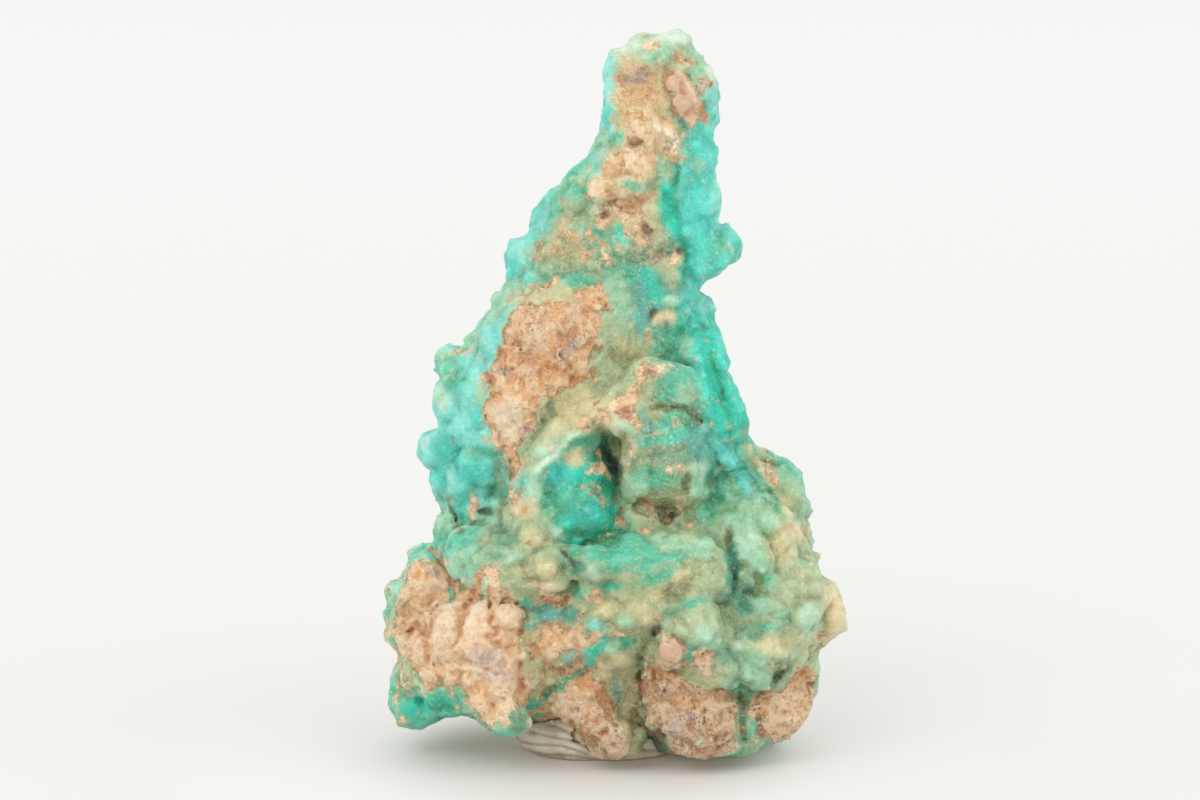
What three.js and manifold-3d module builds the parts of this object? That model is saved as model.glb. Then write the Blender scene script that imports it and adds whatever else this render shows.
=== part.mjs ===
// A hemimorphite specimen: one upright, tapering piece of pale rock overgrown with a lobed
// crust, standing in a pressed pad of display putty.
// Millimetres, +Z up, the face that shows the broken rock towards -Y. The origin is under the
// middle of the whole thing, on the surface that it stands on.
import * as THREE from "three";
import { mergeVertices } from "three/addons/utils/BufferGeometryUtils.js";
import Module from "manifold-3d";

// ---- driving dimensions ----
const specimenHeight = 93.4; // of the rock, from the surface to the tip
const seatGap = 0.3; // between the rock and the putty it is pressed into
const puttyRadius = 11.6; // the pad's half-width, left to right
const puttyHeight = 7; // of the pad before the rock was pressed into it
const puttyDepthShare = 0.92; // front-to-back over left-to-right
const puttyCentre = [-2.2, -1.8];

// The trunk is a stack of rounded sections: [height, left, right, front, back].
const trunkSections = [
  [0.0, 9.0, 18.0, -9.0, 4.0],
  [1.4, 5.0, 20.5, -12.0, 8.0],
  [3.4, -4.0, 22.5, -13.0, 12.0],
  [5.6, -15.0, 23.8, -13.5, 14.6],
  [8.4, -25.0, 25.0, -15.0, 16.4],
  [13.0, -28.4, 25.8, -16.0, 17.6],
  [18.0, -29.0, 27.8, -16.4, 18.0],
  [23.0, -27.2, 27.4, -16.0, 17.5],
  [28.0, -23.4, 25.4, -15.2, 17.0],
  [34.0, -22.2, 24.0, -13.5, 16.0],
  [38.5, -23.0, 21.4, -12.0, 15.0],
  [43.0, -22.6, 17.2, -11.0, 14.3],
  [48.0, -21.4, 16.0, -10.0, 13.5],
  [53.0, -18.4, 14.8, -8.8, 12.3],
  [58.5, -15.4, 12.2, -7.6, 11.0],
  [64.5, -12.4, 11.6, -6.6, 9.8],
  [71.0, -9.2, 13.2, -5.6, 8.6],
  [76.0, -5.6, 13.0, -4.8, 7.8],
  [80.0, -2.4, 12.6, -4.4, 7.2],
  [85.0, -1.4, 13.2, -4.0, 6.6],
  [89.0, -0.4, 12.8, -3.6, 5.6],
  [91.8, 2.4, 11.2, -2.6, 4.2],
  [specimenHeight, 5.2, 9.0, -0.8, 2.2],
];
const sectionSides = 32;
const sectionPower = 2.3; // 2 is an ellipse, more is squarer

// Masses that stand out of the trunk: centre, half-sizes, and a turn in the XZ plane in degrees.
const masses = {
  lowerLeftBoulder: { at: [-16, -8, 14.8], size: [12.2, 10.8, 10.6], turn: 12 },
  leftShoulder: { at: [-23.6, 0, 17.4], size: [6.2, 11, 9.4], turn: 0 },
  leftFoot: { at: [-23.6, 1, 8.6], size: [5.8, 9, 4.8], turn: -8 },
  leftLowLobe: { at: [-20.4, -1, 39.8], size: [5.2, 6, 5.4], turn: 0 },
  leftInnerLobe: { at: [-16.6, -5, 35.6], size: [5.8, 5, 6], turn: 0 },
  leftHighLobe: { at: [-18, -3, 45], size: [5.4, 5, 6.2], turn: 0 },
  leftEdgeLobe: { at: [-20, 1, 49], size: [3.9, 5, 4.2], turn: -14 },
  leftWaist: { at: [-19.4, 1, 28.6], size: [5.4, 8, 6.4], turn: 0 },
  leftUpperKnob: { at: [-10.6, 1, 63.4], size: [3.6, 4, 4.6], turn: 10 },
  rightKnob: { at: [12.2, 2.5, 64.4], size: [5, 4, 3.6], turn: 42 },
  rightApron: { at: [17, -7.6, 22], size: [9.6, 10, 14], turn: 10 },
  rightShoulder: { at: [19.4, 2, 31.8], size: [6, 9, 8], turn: 22 },
  rightEdge: { at: [23.2, 0, 18], size: [6.6, 10, 7], turn: 0 },
  rightFoot: { at: [18.8, -3, 8.8], size: [7.4, 10.5, 8], turn: 0 },
  ledge: { at: [2.6, -12.6, 20.4], size: [11.6, 8, 8], turn: 14 },
  ledgeLump: { at: [11, -13.6, 15], size: [6.4, 6.4, 6.6], turn: 0 },
  footBlock: { at: [9.6, -8.6, 7], size: [7.8, 8.4, 6.9], turn: -10 },
  footTongue: { at: [-1.4, -9.4, 7.3], size: [5.6, 5.8, 6.2], turn: -24 },
  lobeBand: { at: [-12, -10.6, 25.4], size: [9, 7.6, 6.2], turn: -10 },
  brow: { at: [6.6, -7, 39.4], size: [8.4, 8, 8.4], turn: -20 },
  ridge: { at: [-1.4, -5.8, 45], size: [10.4, 5.4, 4.6], turn: 38 },
  upperRock: { at: [-8.2, -4.2, 51], size: [9.6, 6.6, 10], turn: 30 },
  backLobeLow: { at: [-10, 11.4, 22], size: [12.4, 9.4, 13], turn: 0 },
  backLobeRight: { at: [11, 11, 26], size: [12, 9, 13.6], turn: 10 },
  backLobeHigh: { at: [-2, 7.8, 46], size: [11.4, 8, 13], turn: 0 },
};

// Hollows, in the same form.
const hollows = {
  bowl: { at: [-3.6, -18.6, 32.8], size: [6.6, 8, 6], turn: 0 },
  slot: { at: [-0.4, -13.6, 38.4], size: [2.2, 6.4, 4.6], turn: -12 },
  footNotch: { at: [4.6, -16, 2.2], size: [1.6, 8, 2.4], turn: 0 },
};
const massDetail = 3; // how finely a mass's ball is divided
const bumpHeight = 0.8; // the unevenness of every surface

const wasm = await Module();
wasm.setup();

// A slow three-way wave that makes each surface uneven.
function unevenness(x, y, z) {
  return (
    (Math.sin(0.62 * x + 1.3) * Math.cos(0.55 * y + 0.4) +
      Math.sin(0.5 * z + 0.35 * x) +
      Math.cos(0.71 * y - 0.43 * z)) /
    3
  );
}

function solidFrom(geometry) {
  const bare = geometry.clone();
  bare.deleteAttribute("normal");
  bare.deleteAttribute("uv");
  const merged = mergeVertices(bare, 1e-4);
  return new wasm.Manifold(
    new wasm.Mesh({
      numProp: 3,
      vertProperties: new Float32Array(merged.attributes.position.array),
      triVerts: new Uint32Array(merged.index.array),
    }),
  );
}

function geometryFrom(solid) {
  const mesh = solid.getMesh();
  const points = new Float32Array(mesh.numVert * 3);
  for (let i = 0; i < mesh.numVert; i++) {
    const start = i * mesh.numProp;
    points.set(mesh.vertProperties.subarray(start, start + 3), i * 3);
  }
  const geometry = new THREE.BufferGeometry();
  geometry.setAttribute("position", new THREE.BufferAttribute(points, 3));
  geometry.setIndex(new THREE.BufferAttribute(mesh.triVerts.slice(), 1));
  geometry.computeVertexNormals();
  return geometry;
}

// One section's outline: a squarish ellipse between its left, right, front and back.
function sectionPoint([height, left, right, front, back], turn) {
  const c = Math.cos(turn);
  const s = Math.sin(turn);
  const bend = (t) => Math.sign(t) * Math.pow(Math.abs(t), 2 / sectionPower);
  const x = (left + right) / 2 + ((right - left) / 2) * bend(c);
  const y = (front + back) / 2 + ((back - front) / 2) * bend(s);
  const swell = 1 + (bumpHeight / 14) * unevenness(x * 1.7, y * 1.7, height * 1.4);
  return new THREE.Vector3(
    (left + right) / 2 + (x - (left + right) / 2) * swell,
    (front + back) / 2 + (y - (front + back) / 2) * swell,
    height,
  );
}

function buildTrunk() {
  const points = [];
  const faces = [];
  const rows = trunkSections.length;
  for (const section of trunkSections)
    for (let i = 0; i < sectionSides; i++)
      points.push(sectionPoint(section, (2 * Math.PI * i) / sectionSides));
  const middle = (section) =>
    new THREE.Vector3(
      (section[1] + section[2]) / 2,
      (section[3] + section[4]) / 2,
      section[0],
    );
  const bottom = points.push(middle(trunkSections[0])) - 1;
  const top = points.push(middle(trunkSections[rows - 1])) - 1;
  for (let i = 0; i < sectionSides; i++) {
    const next = (i + 1) % sectionSides;
    faces.push(bottom, next, i);
    const last = (rows - 1) * sectionSides;
    faces.push(top, last + i, last + next);
    for (let r = 0; r < rows - 1; r++) {
      const a = r * sectionSides;
      const b = a + sectionSides;
      faces.push(a + i, a + next, b + next);
      faces.push(a + i, b + next, b + i);
    }
  }
  const geometry = new THREE.BufferGeometry().setFromPoints(points);
  geometry.setIndex(faces);
  return solidFrom(geometry);
}

function buildBall({ at, size, turn }) {
  const geometry = new THREE.IcosahedronGeometry(1, massDetail);
  geometry.scale(...size);
  geometry.rotateY(THREE.MathUtils.degToRad(-turn));
  geometry.translate(...at);
  const position = geometry.attributes.position;
  const point = new THREE.Vector3();
  const centre = new THREE.Vector3(...at);
  for (let i = 0; i < position.count; i++) {
    point.fromBufferAttribute(position, i);
    const out = point.clone().sub(centre).normalize();
    const lift = bumpHeight * unevenness(point.x, point.y, point.z);
    point.addScaledVector(out, lift);
    position.setXYZ(i, point.x, point.y, point.z);
  }
  return solidFrom(geometry);
}

function buildFloorCutter() {
  const side = 200;
  const geometry = new THREE.BoxGeometry(side, side, side);
  geometry.translate(0, 0, -side / 2);
  return solidFrom(geometry);
}

function buildSpecimen() {
  let solid = buildTrunk();
  for (const mass of Object.values(masses)) solid = solid.add(buildBall(mass));
  for (const hollow of Object.values(hollows))
    solid = solid.subtract(buildBall(hollow));
  solid = solid.subtract(buildFloorCutter());
  const pieces = solid.decompose().sort((a, b) => b.volume() - a.volume());
  return pieces[0];
}

// Unit directions all round the horizon, at half-way down, and straight down.
function seatDirections() {
  const directions = [[0, 0, -1]];
  const slope = Math.SQRT1_2;
  for (let i = 0; i < 8; i++) {
    const turn = (Math.PI * i) / 4;
    const x = Math.cos(turn);
    const y = Math.sin(turn);
    directions.push([x, y, 0], [x * slope, y * slope, -slope]);
  }
  return directions;
}

// The pad: a turned cushion with a flat underside, squashed front to back, and pressed in by
// the rock. The seat is cut by the rock moved a little each way, which leaves the gap.
function buildPutty(specimen) {
  const profile = [
    [0, 0],
    [puttyRadius * 0.86, 0],
    [puttyRadius * 0.95, puttyHeight * 0.1],
    [puttyRadius, puttyHeight * 0.36],
    [puttyRadius * 0.96, puttyHeight * 0.62],
    [puttyRadius * 0.82, puttyHeight * 0.86],
    [puttyRadius * 0.5, puttyHeight],
    [0, puttyHeight],
  ].map(([r, z]) => new THREE.Vector2(r, z));
  const geometry = new THREE.LatheGeometry(profile, 40);
  geometry.rotateX(Math.PI / 2);
  geometry.scale(1, puttyDepthShare, 1);
  geometry.translate(puttyCentre[0], puttyCentre[1], 0);
  let pad = solidFrom(geometry).subtract(specimen);
  for (const [x, y, z] of seatDirections())
    pad = pad.subtract(specimen.translate([x * seatGap, y * seatGap, z * seatGap]));
  return pad.decompose().sort((a, b) => b.volume() - a.volume())[0];
}

const specimenMaterial = new THREE.MeshStandardMaterial({
  color: 0x7fc4ad,
  roughness: 0.6,
  metalness: 0,
});
const puttyMaterial = new THREE.MeshStandardMaterial({
  color: 0xcfc9bf,
  roughness: 0.55,
  metalness: 0,
});

const specimenSolid = buildSpecimen();
const puttySolid = buildPutty(specimenSolid);

const specimen = new THREE.Mesh(geometryFrom(specimenSolid), specimenMaterial);
specimen.name = "hemimorphite_on_matrix";
const putty = new THREE.Mesh(geometryFrom(puttySolid), puttyMaterial);
putty.name = "display_putty";

const model = new THREE.Group();
model.add(specimen, putty);
const bounds = new THREE.Box3().setFromObject(model);
model.position.set(
  -(bounds.min.x + bounds.max.x) / 2,
  -(bounds.min.y + bounds.max.y) / 2,
  -bounds.min.z,
);

export default model;
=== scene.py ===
import math
import bpy
import numpy as np
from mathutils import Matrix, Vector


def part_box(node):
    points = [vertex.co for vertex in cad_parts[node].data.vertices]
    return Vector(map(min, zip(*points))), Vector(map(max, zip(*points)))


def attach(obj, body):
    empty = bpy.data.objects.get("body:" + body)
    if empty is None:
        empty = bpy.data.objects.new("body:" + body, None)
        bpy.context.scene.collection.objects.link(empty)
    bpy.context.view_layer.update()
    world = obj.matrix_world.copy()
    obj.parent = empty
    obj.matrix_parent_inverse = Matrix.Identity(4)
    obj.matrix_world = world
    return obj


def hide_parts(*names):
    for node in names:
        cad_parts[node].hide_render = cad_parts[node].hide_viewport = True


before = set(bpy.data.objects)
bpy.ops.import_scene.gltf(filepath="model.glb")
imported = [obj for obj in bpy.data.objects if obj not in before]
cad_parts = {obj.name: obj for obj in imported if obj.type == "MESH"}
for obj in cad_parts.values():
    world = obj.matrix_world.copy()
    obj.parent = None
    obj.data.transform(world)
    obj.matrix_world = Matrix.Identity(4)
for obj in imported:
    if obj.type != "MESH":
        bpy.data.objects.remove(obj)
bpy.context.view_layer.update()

import openvdb
from mathutils import Euler, Vector

mm = 0.001
random = np.random.default_rng(7)

viewer = {
    "rise": 8,  # degrees above level
    "lens": 100,
    "sensor": 36,
    "span": 156,  # mm across the frame at the aim
    "aim": (-1.9, 0, 45.7),
    "aimSeen": (-1.9, 46.7),  # the aim, in the flat coordinates below
    "sees": (0.01, 20),  # metres
}

rise = math.radians(viewer["rise"])
lookWay = np.array([0, math.cos(rise), -math.sin(rise)])
upWay = np.array([0, math.sin(rise), math.cos(rise)])
aim = np.array(viewer["aim"])
aimDistance = viewer["span"] * viewer["lens"] / viewer["sensor"]
lookFrom = aim - lookWay * viewer["span"] * viewer["lens"] / viewer["sensor"]


def flat(points):
    # places as the viewer sees them: across and up, in mm on the plane through the aim
    away = points - lookFrom
    scale = aimDistance / (away @ lookWay)
    across = away[:, 0] * scale + viewer["aimSeen"][0]
    up = (away @ upWay) * scale + viewer["aimSeen"][1]
    return across, up


def seen(across, up, near):
    # the place that shows at (across, up) and lies `near` mm in front of the stone's middle
    target = aim + upWay * (up - viewer["aimSeen"][1])
    target[0] += across - viewer["aimSeen"][0]
    ray = target - lookFrom
    reach = (-np.asarray(near, float) - lookFrom[1]) / ray[1]
    return lookFrom + np.multiply.outer(reach, ray)


def makeCamera():
    data = bpy.data.cameras.new("camera")
    data.lens = viewer["lens"]
    data.sensor_width = viewer["sensor"]
    data.clip_start, data.clip_end = viewer["sees"]
    camera = bpy.data.objects.new("camera", data)
    bpy.context.scene.collection.objects.link(camera)
    camera.location = Vector(lookFrom * mm)
    camera.rotation_euler = (math.radians(90) - rise, 0, 0)
    bpy.context.scene.camera = camera


makeCamera()
print("camera placed")

block = {
    "step": 0.32,  # mm between grid points
    "quickStep": 0.6,
    "margin": 3.4,
    "reach": 9,  # steps either side of the surface that hold distances
    "soften": 0.5,  # mm, how far the plain solid's edges are rounded first
    "shrink": 0.7,  # mm taken off all round, to be built up again by the forms below
    "warp": 0.6,  # mm, how far the masses are pushed out of round
    "warpSize": 4,
    "shaftWarp": 0.3,  # share of that for the crisp hollows
    "floor": 0.05,
    "smooth": 1.2,  # mm of blur, where only the broad shape counts
    "skin": 1.5,  # mm either side of the surface that the fine relief reaches
    "dip": 0.5,  # mm, the size of the dips and bulges that the materials answer to, with painted shade in the dips and painted highlight on the bulges
    "sightLine": (25, -25, -0.25),  # mm of nearness that a search along a sight line steps through
    "mostTriangles": 197000,
}

stoneNode = "hemimorphite_on_matrix"
puttyNode = "display_putty"
step = block["step"]
lowCorner = np.array(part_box(stoneNode)[0]) / mm - block["margin"]
highCorner = np.array(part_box(stoneNode)[1]) / mm + block["margin"]
counts = np.ceil((highCorner - lowCorner) / step).astype(int) + 1
gridAxes = [lowCorner[a] + step * np.arange(counts[a], dtype=np.float32) for a in range(3)]


def solidField(node):
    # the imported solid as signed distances
    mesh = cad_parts[node].data
    mesh.calc_loop_triangles()
    points = np.empty(len(mesh.vertices) * 3, np.float32)
    mesh.vertices.foreach_get("co", points)
    points = points.reshape(-1, 3) / mm - lowCorner
    corners = np.empty(len(mesh.loop_triangles) * 3, np.int32)
    mesh.loop_triangles.foreach_get("vertices", corners)
    grid = openvdb.FloatGrid.createLevelSetFromPolygons(
        points.astype(np.float32),
        triangles=corners.reshape(-1, 3).astype(np.uint32),
        transform=openvdb.createLinearTransform(step),
        halfWidth=block["reach"],
    )
    field = np.zeros(counts, np.float32)
    grid.copyToArray(field)
    return field


def alongAxis(values, axis):
    shape = [1, 1, 1]
    shape[axis] = -1
    return values.reshape(shape)


def boxBlur(field, half, axis):
    # running mean over 2 * half + 1 grid points
    pad = [(0, 0)] * field.ndim
    pad[axis] = (half + 1, half)
    total = np.cumsum(np.pad(field, pad, mode="edge"), axis=axis, dtype=np.float32)
    size = field.shape[axis]
    late = [slice(None)] * field.ndim
    early = [slice(None)] * field.ndim
    late[axis] = slice(2 * half + 1, 2 * half + 1 + size)
    early[axis] = slice(0, size)
    return (total[tuple(late)] - total[tuple(early)]) / (2 * half + 1)


def blur(field, distance, pitch=step, axes=(0, 1, 2)):
    # three running means come close to a bell of this half-width
    half = max(1, round(distance / pitch))
    for _ in range(3):
        for axis in axes:
            field = boxBlur(field, half, axis)
    return field


def softNoise(size, seed):
    # smooth noise about 0 over the whole grid, with bumps about `size` mm across
    cells = [int((highCorner[a] - lowCorner[a]) / size) + 3 for a in range(3)]
    values = np.random.default_rng(seed).uniform(-1, 1, cells).astype(np.float32)
    for axis in range(3):
        place = (gridAxes[axis] - lowCorner[axis]) / size
        first = np.floor(place).astype(int)
        share = place - first
        share = alongAxis(share * share * (3 - 2 * share), axis).astype(np.float32)
        low = np.take(values, first, axis)
        values = low + (np.take(values, first + 1, axis) - low) * share
    return values * np.float32(1.4)  # the mixing has flattened it


def nearestCells(points, size, seed):
    # one jittered place in each cell of this size: how far the nearest is, which way, and its number
    cells = np.ceil((highCorner - lowCorner) / size).astype(int) + 4
    jitter = np.random.default_rng(seed).uniform(0, 1, (*cells, 3)).astype(np.float32)
    place = ((points - lowCorner) / size + 1.5).astype(np.float32)
    base = np.floor(place).astype(int)
    distance = np.full(len(points), 9, np.float32)
    way = np.zeros_like(place)
    number = np.zeros(len(points), int)
    for shift in np.ndindex(3, 3, 3):
        cell = base + np.array(shift) - 1
        i, j, k = cell.T
        to = cell + jitter[i, j, k] - place
        far = (to * to).sum(1)
        closer = far < distance
        distance[closer] = far[closer]
        way[closer] = to[closer]
        number[closer] = ((i * cells[1] + j) * cells[2] + k)[closer]
    return np.sqrt(distance), way, number


def brokenRelief(points, size, seed, tilt):
    # flat chips, each at its own height and tilt
    distance, way, number = nearestCells(points, size, seed)
    source = np.random.default_rng(seed + 50)
    count = number.max() + 1
    heights = source.uniform(-1, 1, count)
    tilts = source.normal(0, tilt, (count, 3))
    return heights[number] + (way * tilts[number]).sum(1)


def moundRelief(points, size, seed):
    # rounded mounds that meet in creases
    return 0.5 - 1.3 * nearestCells(points, size, seed)[0] ** 2


def joinSoft(a, b, blend):
    closeness = np.maximum(blend - np.abs(a - b), 0) / blend
    return np.minimum(a, b) - closeness * closeness * blend * 0.25


def carveSoft(a, b, blend):
    closeness = np.maximum(blend - np.abs(a + b), 0) / blend
    return np.maximum(a, -b) + closeness * closeness * blend * 0.25


def window(centre, reach):
    low = np.clip(np.floor((centre - reach - lowCorner) / step).astype(int), 0, counts)
    high = np.clip(np.ceil((centre + reach - lowCorner) / step).astype(int) + 1, 0, counts)
    return tuple(slice(low[a], high[a]) for a in range(3))


def offsetFrom(centre, part):
    return [alongAxis(gridAxes[a][part[a]] - np.float32(centre[a]), a) for a in range(3)]


def ovalDistance(centre, radii, turn, part, push, share=1):
    # distance to a turned oval ball pushed out of round, over one window of the grid
    offset = [o + p[part] * np.float32(share) for o, p in zip(offsetFrom(centre, part), push)]
    turned = np.array(Euler([math.radians(t) for t in turn]).to_matrix()).T
    plain = 0
    scaled = 0
    for row, radius in zip(turned, radii):
        along = row[0] * offset[0] + row[1] * offset[1] + row[2] * offset[2]
        plain = plain + (along / radius) ** 2
        scaled = scaled + (along / radius**2) ** 2
    plain = np.sqrt(plain)
    return (plain * (plain - 1) / np.maximum(np.sqrt(scaled), 1e-6)).astype(np.float32)


def sample(field, points):
    # a grid value between grid points
    place = (points - lowCorner) / step
    first = np.clip(np.floor(place).astype(int), 0, counts - 2)
    share = np.clip(place - first, 0, 1).astype(np.float32)
    i, j, k = first.T
    a, b, c = share.T
    total = 0
    for x, wx in ((0, 1 - a), (1, a)):
        for y, wy in ((0, 1 - b), (1, b)):
            for z, wz in ((0, 1 - c), (1, c)):
                total = total + field[i + x, j + y, k + z] * wx * wy * wz
    return total


def slopeAt(field, points):
    # the way out of the stone, from a field
    ways = []
    for axis in range(3):
        shift = np.zeros(3)
        shift[axis] = step
        ways.append(sample(field, points + shift) - sample(field, points - shift))
    out = np.stack(ways, 1)
    return out / np.maximum(np.linalg.norm(out, axis=1, keepdims=True), 1e-9)


def nearAt(field, across, up):
    # how near the viewer the surface is at (across, up), or passes closest to that sight line
    nears = np.arange(*block["sightLine"])
    values = sample(field, seen(across, up, nears))
    inside = np.nonzero(values < 0)[0]
    if len(inside):
        return nears[inside[0]]
    return nears[np.argmin(values)]


def scatter(field, spacing, seed):
    # one surface place in each cell of this size
    near = np.argwhere(np.abs(field[2:-2, 2:-2, 2:-2]) < step * 0.5) + 2
    order = np.random.default_rng(seed).permutation(len(near))
    near = near[order]
    cells = np.floor(near * step / spacing).astype(np.int64)
    most = max(counts)
    keys = (cells[:, 0] * most + cells[:, 1]) * most + cells[:, 2]
    _, first = np.unique(keys, return_index=True)
    places = near[np.sort(first)]
    return places * step + lowCorner


def placeBalls(field, centres, radii, blend):
    for centre, radius in zip(centres, radii):
        part = window(centre, radius + blend + step)
        x, y, z = offsetFrom(centre, part)
        shape = np.sqrt(x**2 + y**2 + z**2) - np.float32(radius)
        field[part] = joinSoft(field[part], shape, np.float32(blend))


# Masses on the stone: across, up and nearness of the middle, half-sizes (across, deep, high),
# the turn seen by the viewer, and how softly it runs into the rest.
masses = {
    "spireCap": (4.8, 90.6, 1, (5, 3.4, 3.2), -10, 1.5),
    "spireLeftRim": (-0.2, 85, 1, (1.3, 3.4, 6.6), -4, 1.5),
    "spireRightRim": (11.6, 86.2, 0, (1.4, 3, 4.6), 0, 1.5),
    "spireSheet": (10.8, 72, 1, (2.2, 3.4, 11), 2, 1.5),
    "spireTan": (2.6, 79.4, 4.2, (3, 2, 6.4), -10, 1.2),
    "spireShelf": (1.4, 75.4, 4.6, (4.6, 2.2, 1.8), 24, 0.8),
    "rightKnob": (14.2, 66.6, -1.5, (2.3, 2.4, 1.9), 40, 1),
    "rightKnobStalk": (12.2, 64.4, -1.5, (2, 2.4, 2.6), 20, 1.2),
    "upperRock": (-7.8, 55, 7.2, (6.8, 3.2, 5.4), 8, 1.4),
    "lowerRock": (-12, 46.6, 7.6, (4.4, 3, 5.6), -12, 1.4),
    "ridgeTop": (3.8, 50.2, 10.4, (2.4, 1.8, 1.6), 40, 0.9),
    "ridgeMiddle": (-1, 46.6, 10.6, (3.6, 1.8, 1.2), 34, 0.9),
    "ridgeJoin": (2.4, 47.2, 11.4, (1.8, 1.6, 2.4), -20, 0.8),
    "paleLobe": (1.3, 43.8, 13, (1.9, 1.8, 1.3), -16, 0.5),
    "ridgeUnder": (-0.6, 44.4, 11.6, (1.6, 1.6, 1.4), 20, 0.6),
    "ridgeFill": (0.2, 45.7, 11.6, (1.6, 1.8, 1.3), 0, 0.6),
    "browRight": (11.2, 45.6, 10.8, (1.7, 2.2, 3.6), 8, 1.2),
    "ridgeEnd": (-6, 43, 10.4, (4.6, 2, 1.5), 28, 1.2),
    "bowlLip": (-7.4, 40.4, 11, (4.2, 1.8, 1.1), 38, 0.8),
    "browTop": (7, 48, 11.6, (3.8, 2.4, 3.2), 0, 1.4),
    "brow": (6.2, 42.2, 13, (4.8, 2.4, 5.2), -10, 1.4),
    "browEdge": (2.7, 38.4, 14.2, (1.7, 2, 4.4), -6, 0.6),
    "browFoot": (7, 36.6, 13.6, (4.2, 2.2, 3.4), -6, 1.2),
    "bowlFill": (-5, 34.2, 11.6, (5.2, 3.2, 6.2), 14, 1.4),
    "bowlRimLeft": (-10.8, 35.6, 12.4, (2.2, 2.8, 6), -22, 1.2),
    "ledge": (5.4, 23.6, 16.8, (9.6, 4.2, 5.4), 10, 1.6),
    "ledgeTip": (-1.6, 26.2, 17.8, (3.6, 3.4, 1.5), 6, 1.2),
    "ledgeFront": (1.6, 19.4, 18, (5, 2.6, 3), 10, 1.4),
    "lumpFront": (10.4, 17, 19, (4, 2.4, 3.8), -8, 0.9),
    "slopeRight": (13, 47, 7.2, (3.4, 4, 8.6), 14, 1.6),
    "leftHighLobe": (-16.6, 47.4, 6, (2.4, 3, 4.4), 0, 0.8),
    "leftMidLobe": (-15.6, 39.8, 7.6, (3.2, 3, 3.6), 0, 0.8),
    "leftLowLobe": (-18.8, 36, 6, (2.8, 3, 2.8), 0, 0.8),
    "leftEdgeLobe": (-21.2, 41, 2.6, (3.2, 4, 4.2), 0, 0.8),
    "leftEdgeUpper": (-20.4, 48.8, 1.4, (2, 3.2, 4), 0, 0.8),
    "leftWaistLobe": (-20, 32.8, 2.6, (2.4, 3.2, 3), 0, 0.8),
    "lobeBandLeft": (-17.6, 27.2, 11.6, (3.6, 3.2, 2.8), 0, 1),
    "lobeBandMiddle": (-12.4, 26.2, 14.4, (3, 3, 3.2), 0, 0.9),
    "lobeBandRight": (-8, 25, 15.6, (2.6, 2.8, 2.8), 0, 0.7),
    "lobeBandUpper": (-10.6, 30.6, 13.4, (3, 2.8, 2.2), 20, 0.9),
    "boulderCore": (-19, 15.2, 14.8, (5.2, 3.8, 5.2), 14, 0.8),
    "boulderFace": (-18.8, 16.4, 14.6, (4.4, 4, 3.8), 20, 0.8),
    "boulderLeft": (-21.5, 16, 15.6, (2.6, 3, 4.6), 22, 0.4),
    "boulder": (-17, 14.6, 15.6, (4.6, 3.4, 5.8), 6, 0.4),
    "boulderBall": (-13.9, 18.5, 16.2, (1.7, 2.2, 1.7), 0, 0.3),
    "boulderFoot": (-15.6, 9.4, 15.2, (4.6, 4, 5), 0, 0.8),
    "boulderShoulder": (-23.4, 22, 9.2, (3.8, 3.8, 3.2), 20, 1),
    "leftRubble": (-25.8, 15.4, 6, (2.8, 4.2, 5.6), 0, 1),
    "footLeft": (-24.6, 7.6, 3.4, (3.6, 4.8, 2.4), -6, 1.2),
    "tanPatch": (-6.8, 15.2, 15.6, (4.2, 2.6, 2.6), 0, 1),
    "centreFoot": (-3.6, 6.4, 14.6, (3.4, 2.8, 5.2), 30, 1),
    "centreFootTip": (0, 2.9, 14.4, (2.4, 2.8, 3), 0, 1),
    "footBlock": (9.6, 5.8, 15.8, (5.6, 3, 5.2), -10, 0.8),
    "footBlockEnd": (14, 3.8, 14.4, (2.6, 3, 3.4), 0, 0.8),
    "footBetween": (16.9, 4.4, 12.4, (2.4, 3, 3.6), -15, 1.2),
    "footRight": (20.8, 6.4, 10.4, (4.8, 3.8, 4.4), 20, 0.9),
    "apronTop": (18.6, 30.6, 12.4, (3.6, 3.4, 3.4), 0, 1),
    "apronColumn": (18.4, 25.4, 14.6, (1.9, 2.4, 3.4), 0, 0.6),
    "apronMiddle": (22.8, 21.4, 12.2, (4, 3.8, 4.2), 0, 1),
    "apronLow": (18.6, 14.6, 15, (3.4, 3.4, 3.6), 0, 0.9),
    "apronEdge": (26, 18.8, 5.6, (2.8, 4.8, 4.2), 0, 1),
    "shoulderRight": (21, 35, 6, (3, 3.8, 3.4), 24, 1),
}

# Hollows, in the same form.
hollows = {
    "bowlUnder": (-5, 27.4, 17.4, (2.4, 1.8, 0.9), 16, 0.6),
    "darkHoleFoot": (0.2, 34.4, 16.6, (0.8, 3, 2), -6, 0.5),
    "underBrow": (2.4, 30.9, 17.2, (3, 2.6, 1), -8, 0.8),
    "creviceRight": (15.6, 25.4, 18.4, (1.1, 2.6, 4.6), 6, 1.3),
    "creviceRightLow": (16.8, 20.4, 18.8, (1.2, 2.4, 2.8), -30, 1.3),
    "creviceFoot": (3.8, 8.6, 18, (0.5, 4.2, 5.4), 3, 0.4),
    "creviceFootTop": (4.4, 14.4, 21.6, (1, 3.4, 2.2), -40, 1),
    "arch": (-20.6, 3.2, 4, (3, 16, 2), -8, 1),
    "puttyArch": (-8, 1.2, 13, (6.4, 6.8, 3.6), -34, 0.5),
    "notchFoot": (4.9, 2.4, 15.6, (0.9, 4.4, 1.9), -20, 0.4),
    "underLeft": (-24, 8.4, 9, (3.6, 3.4, 1.5), -8, 0.6),
}

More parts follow.
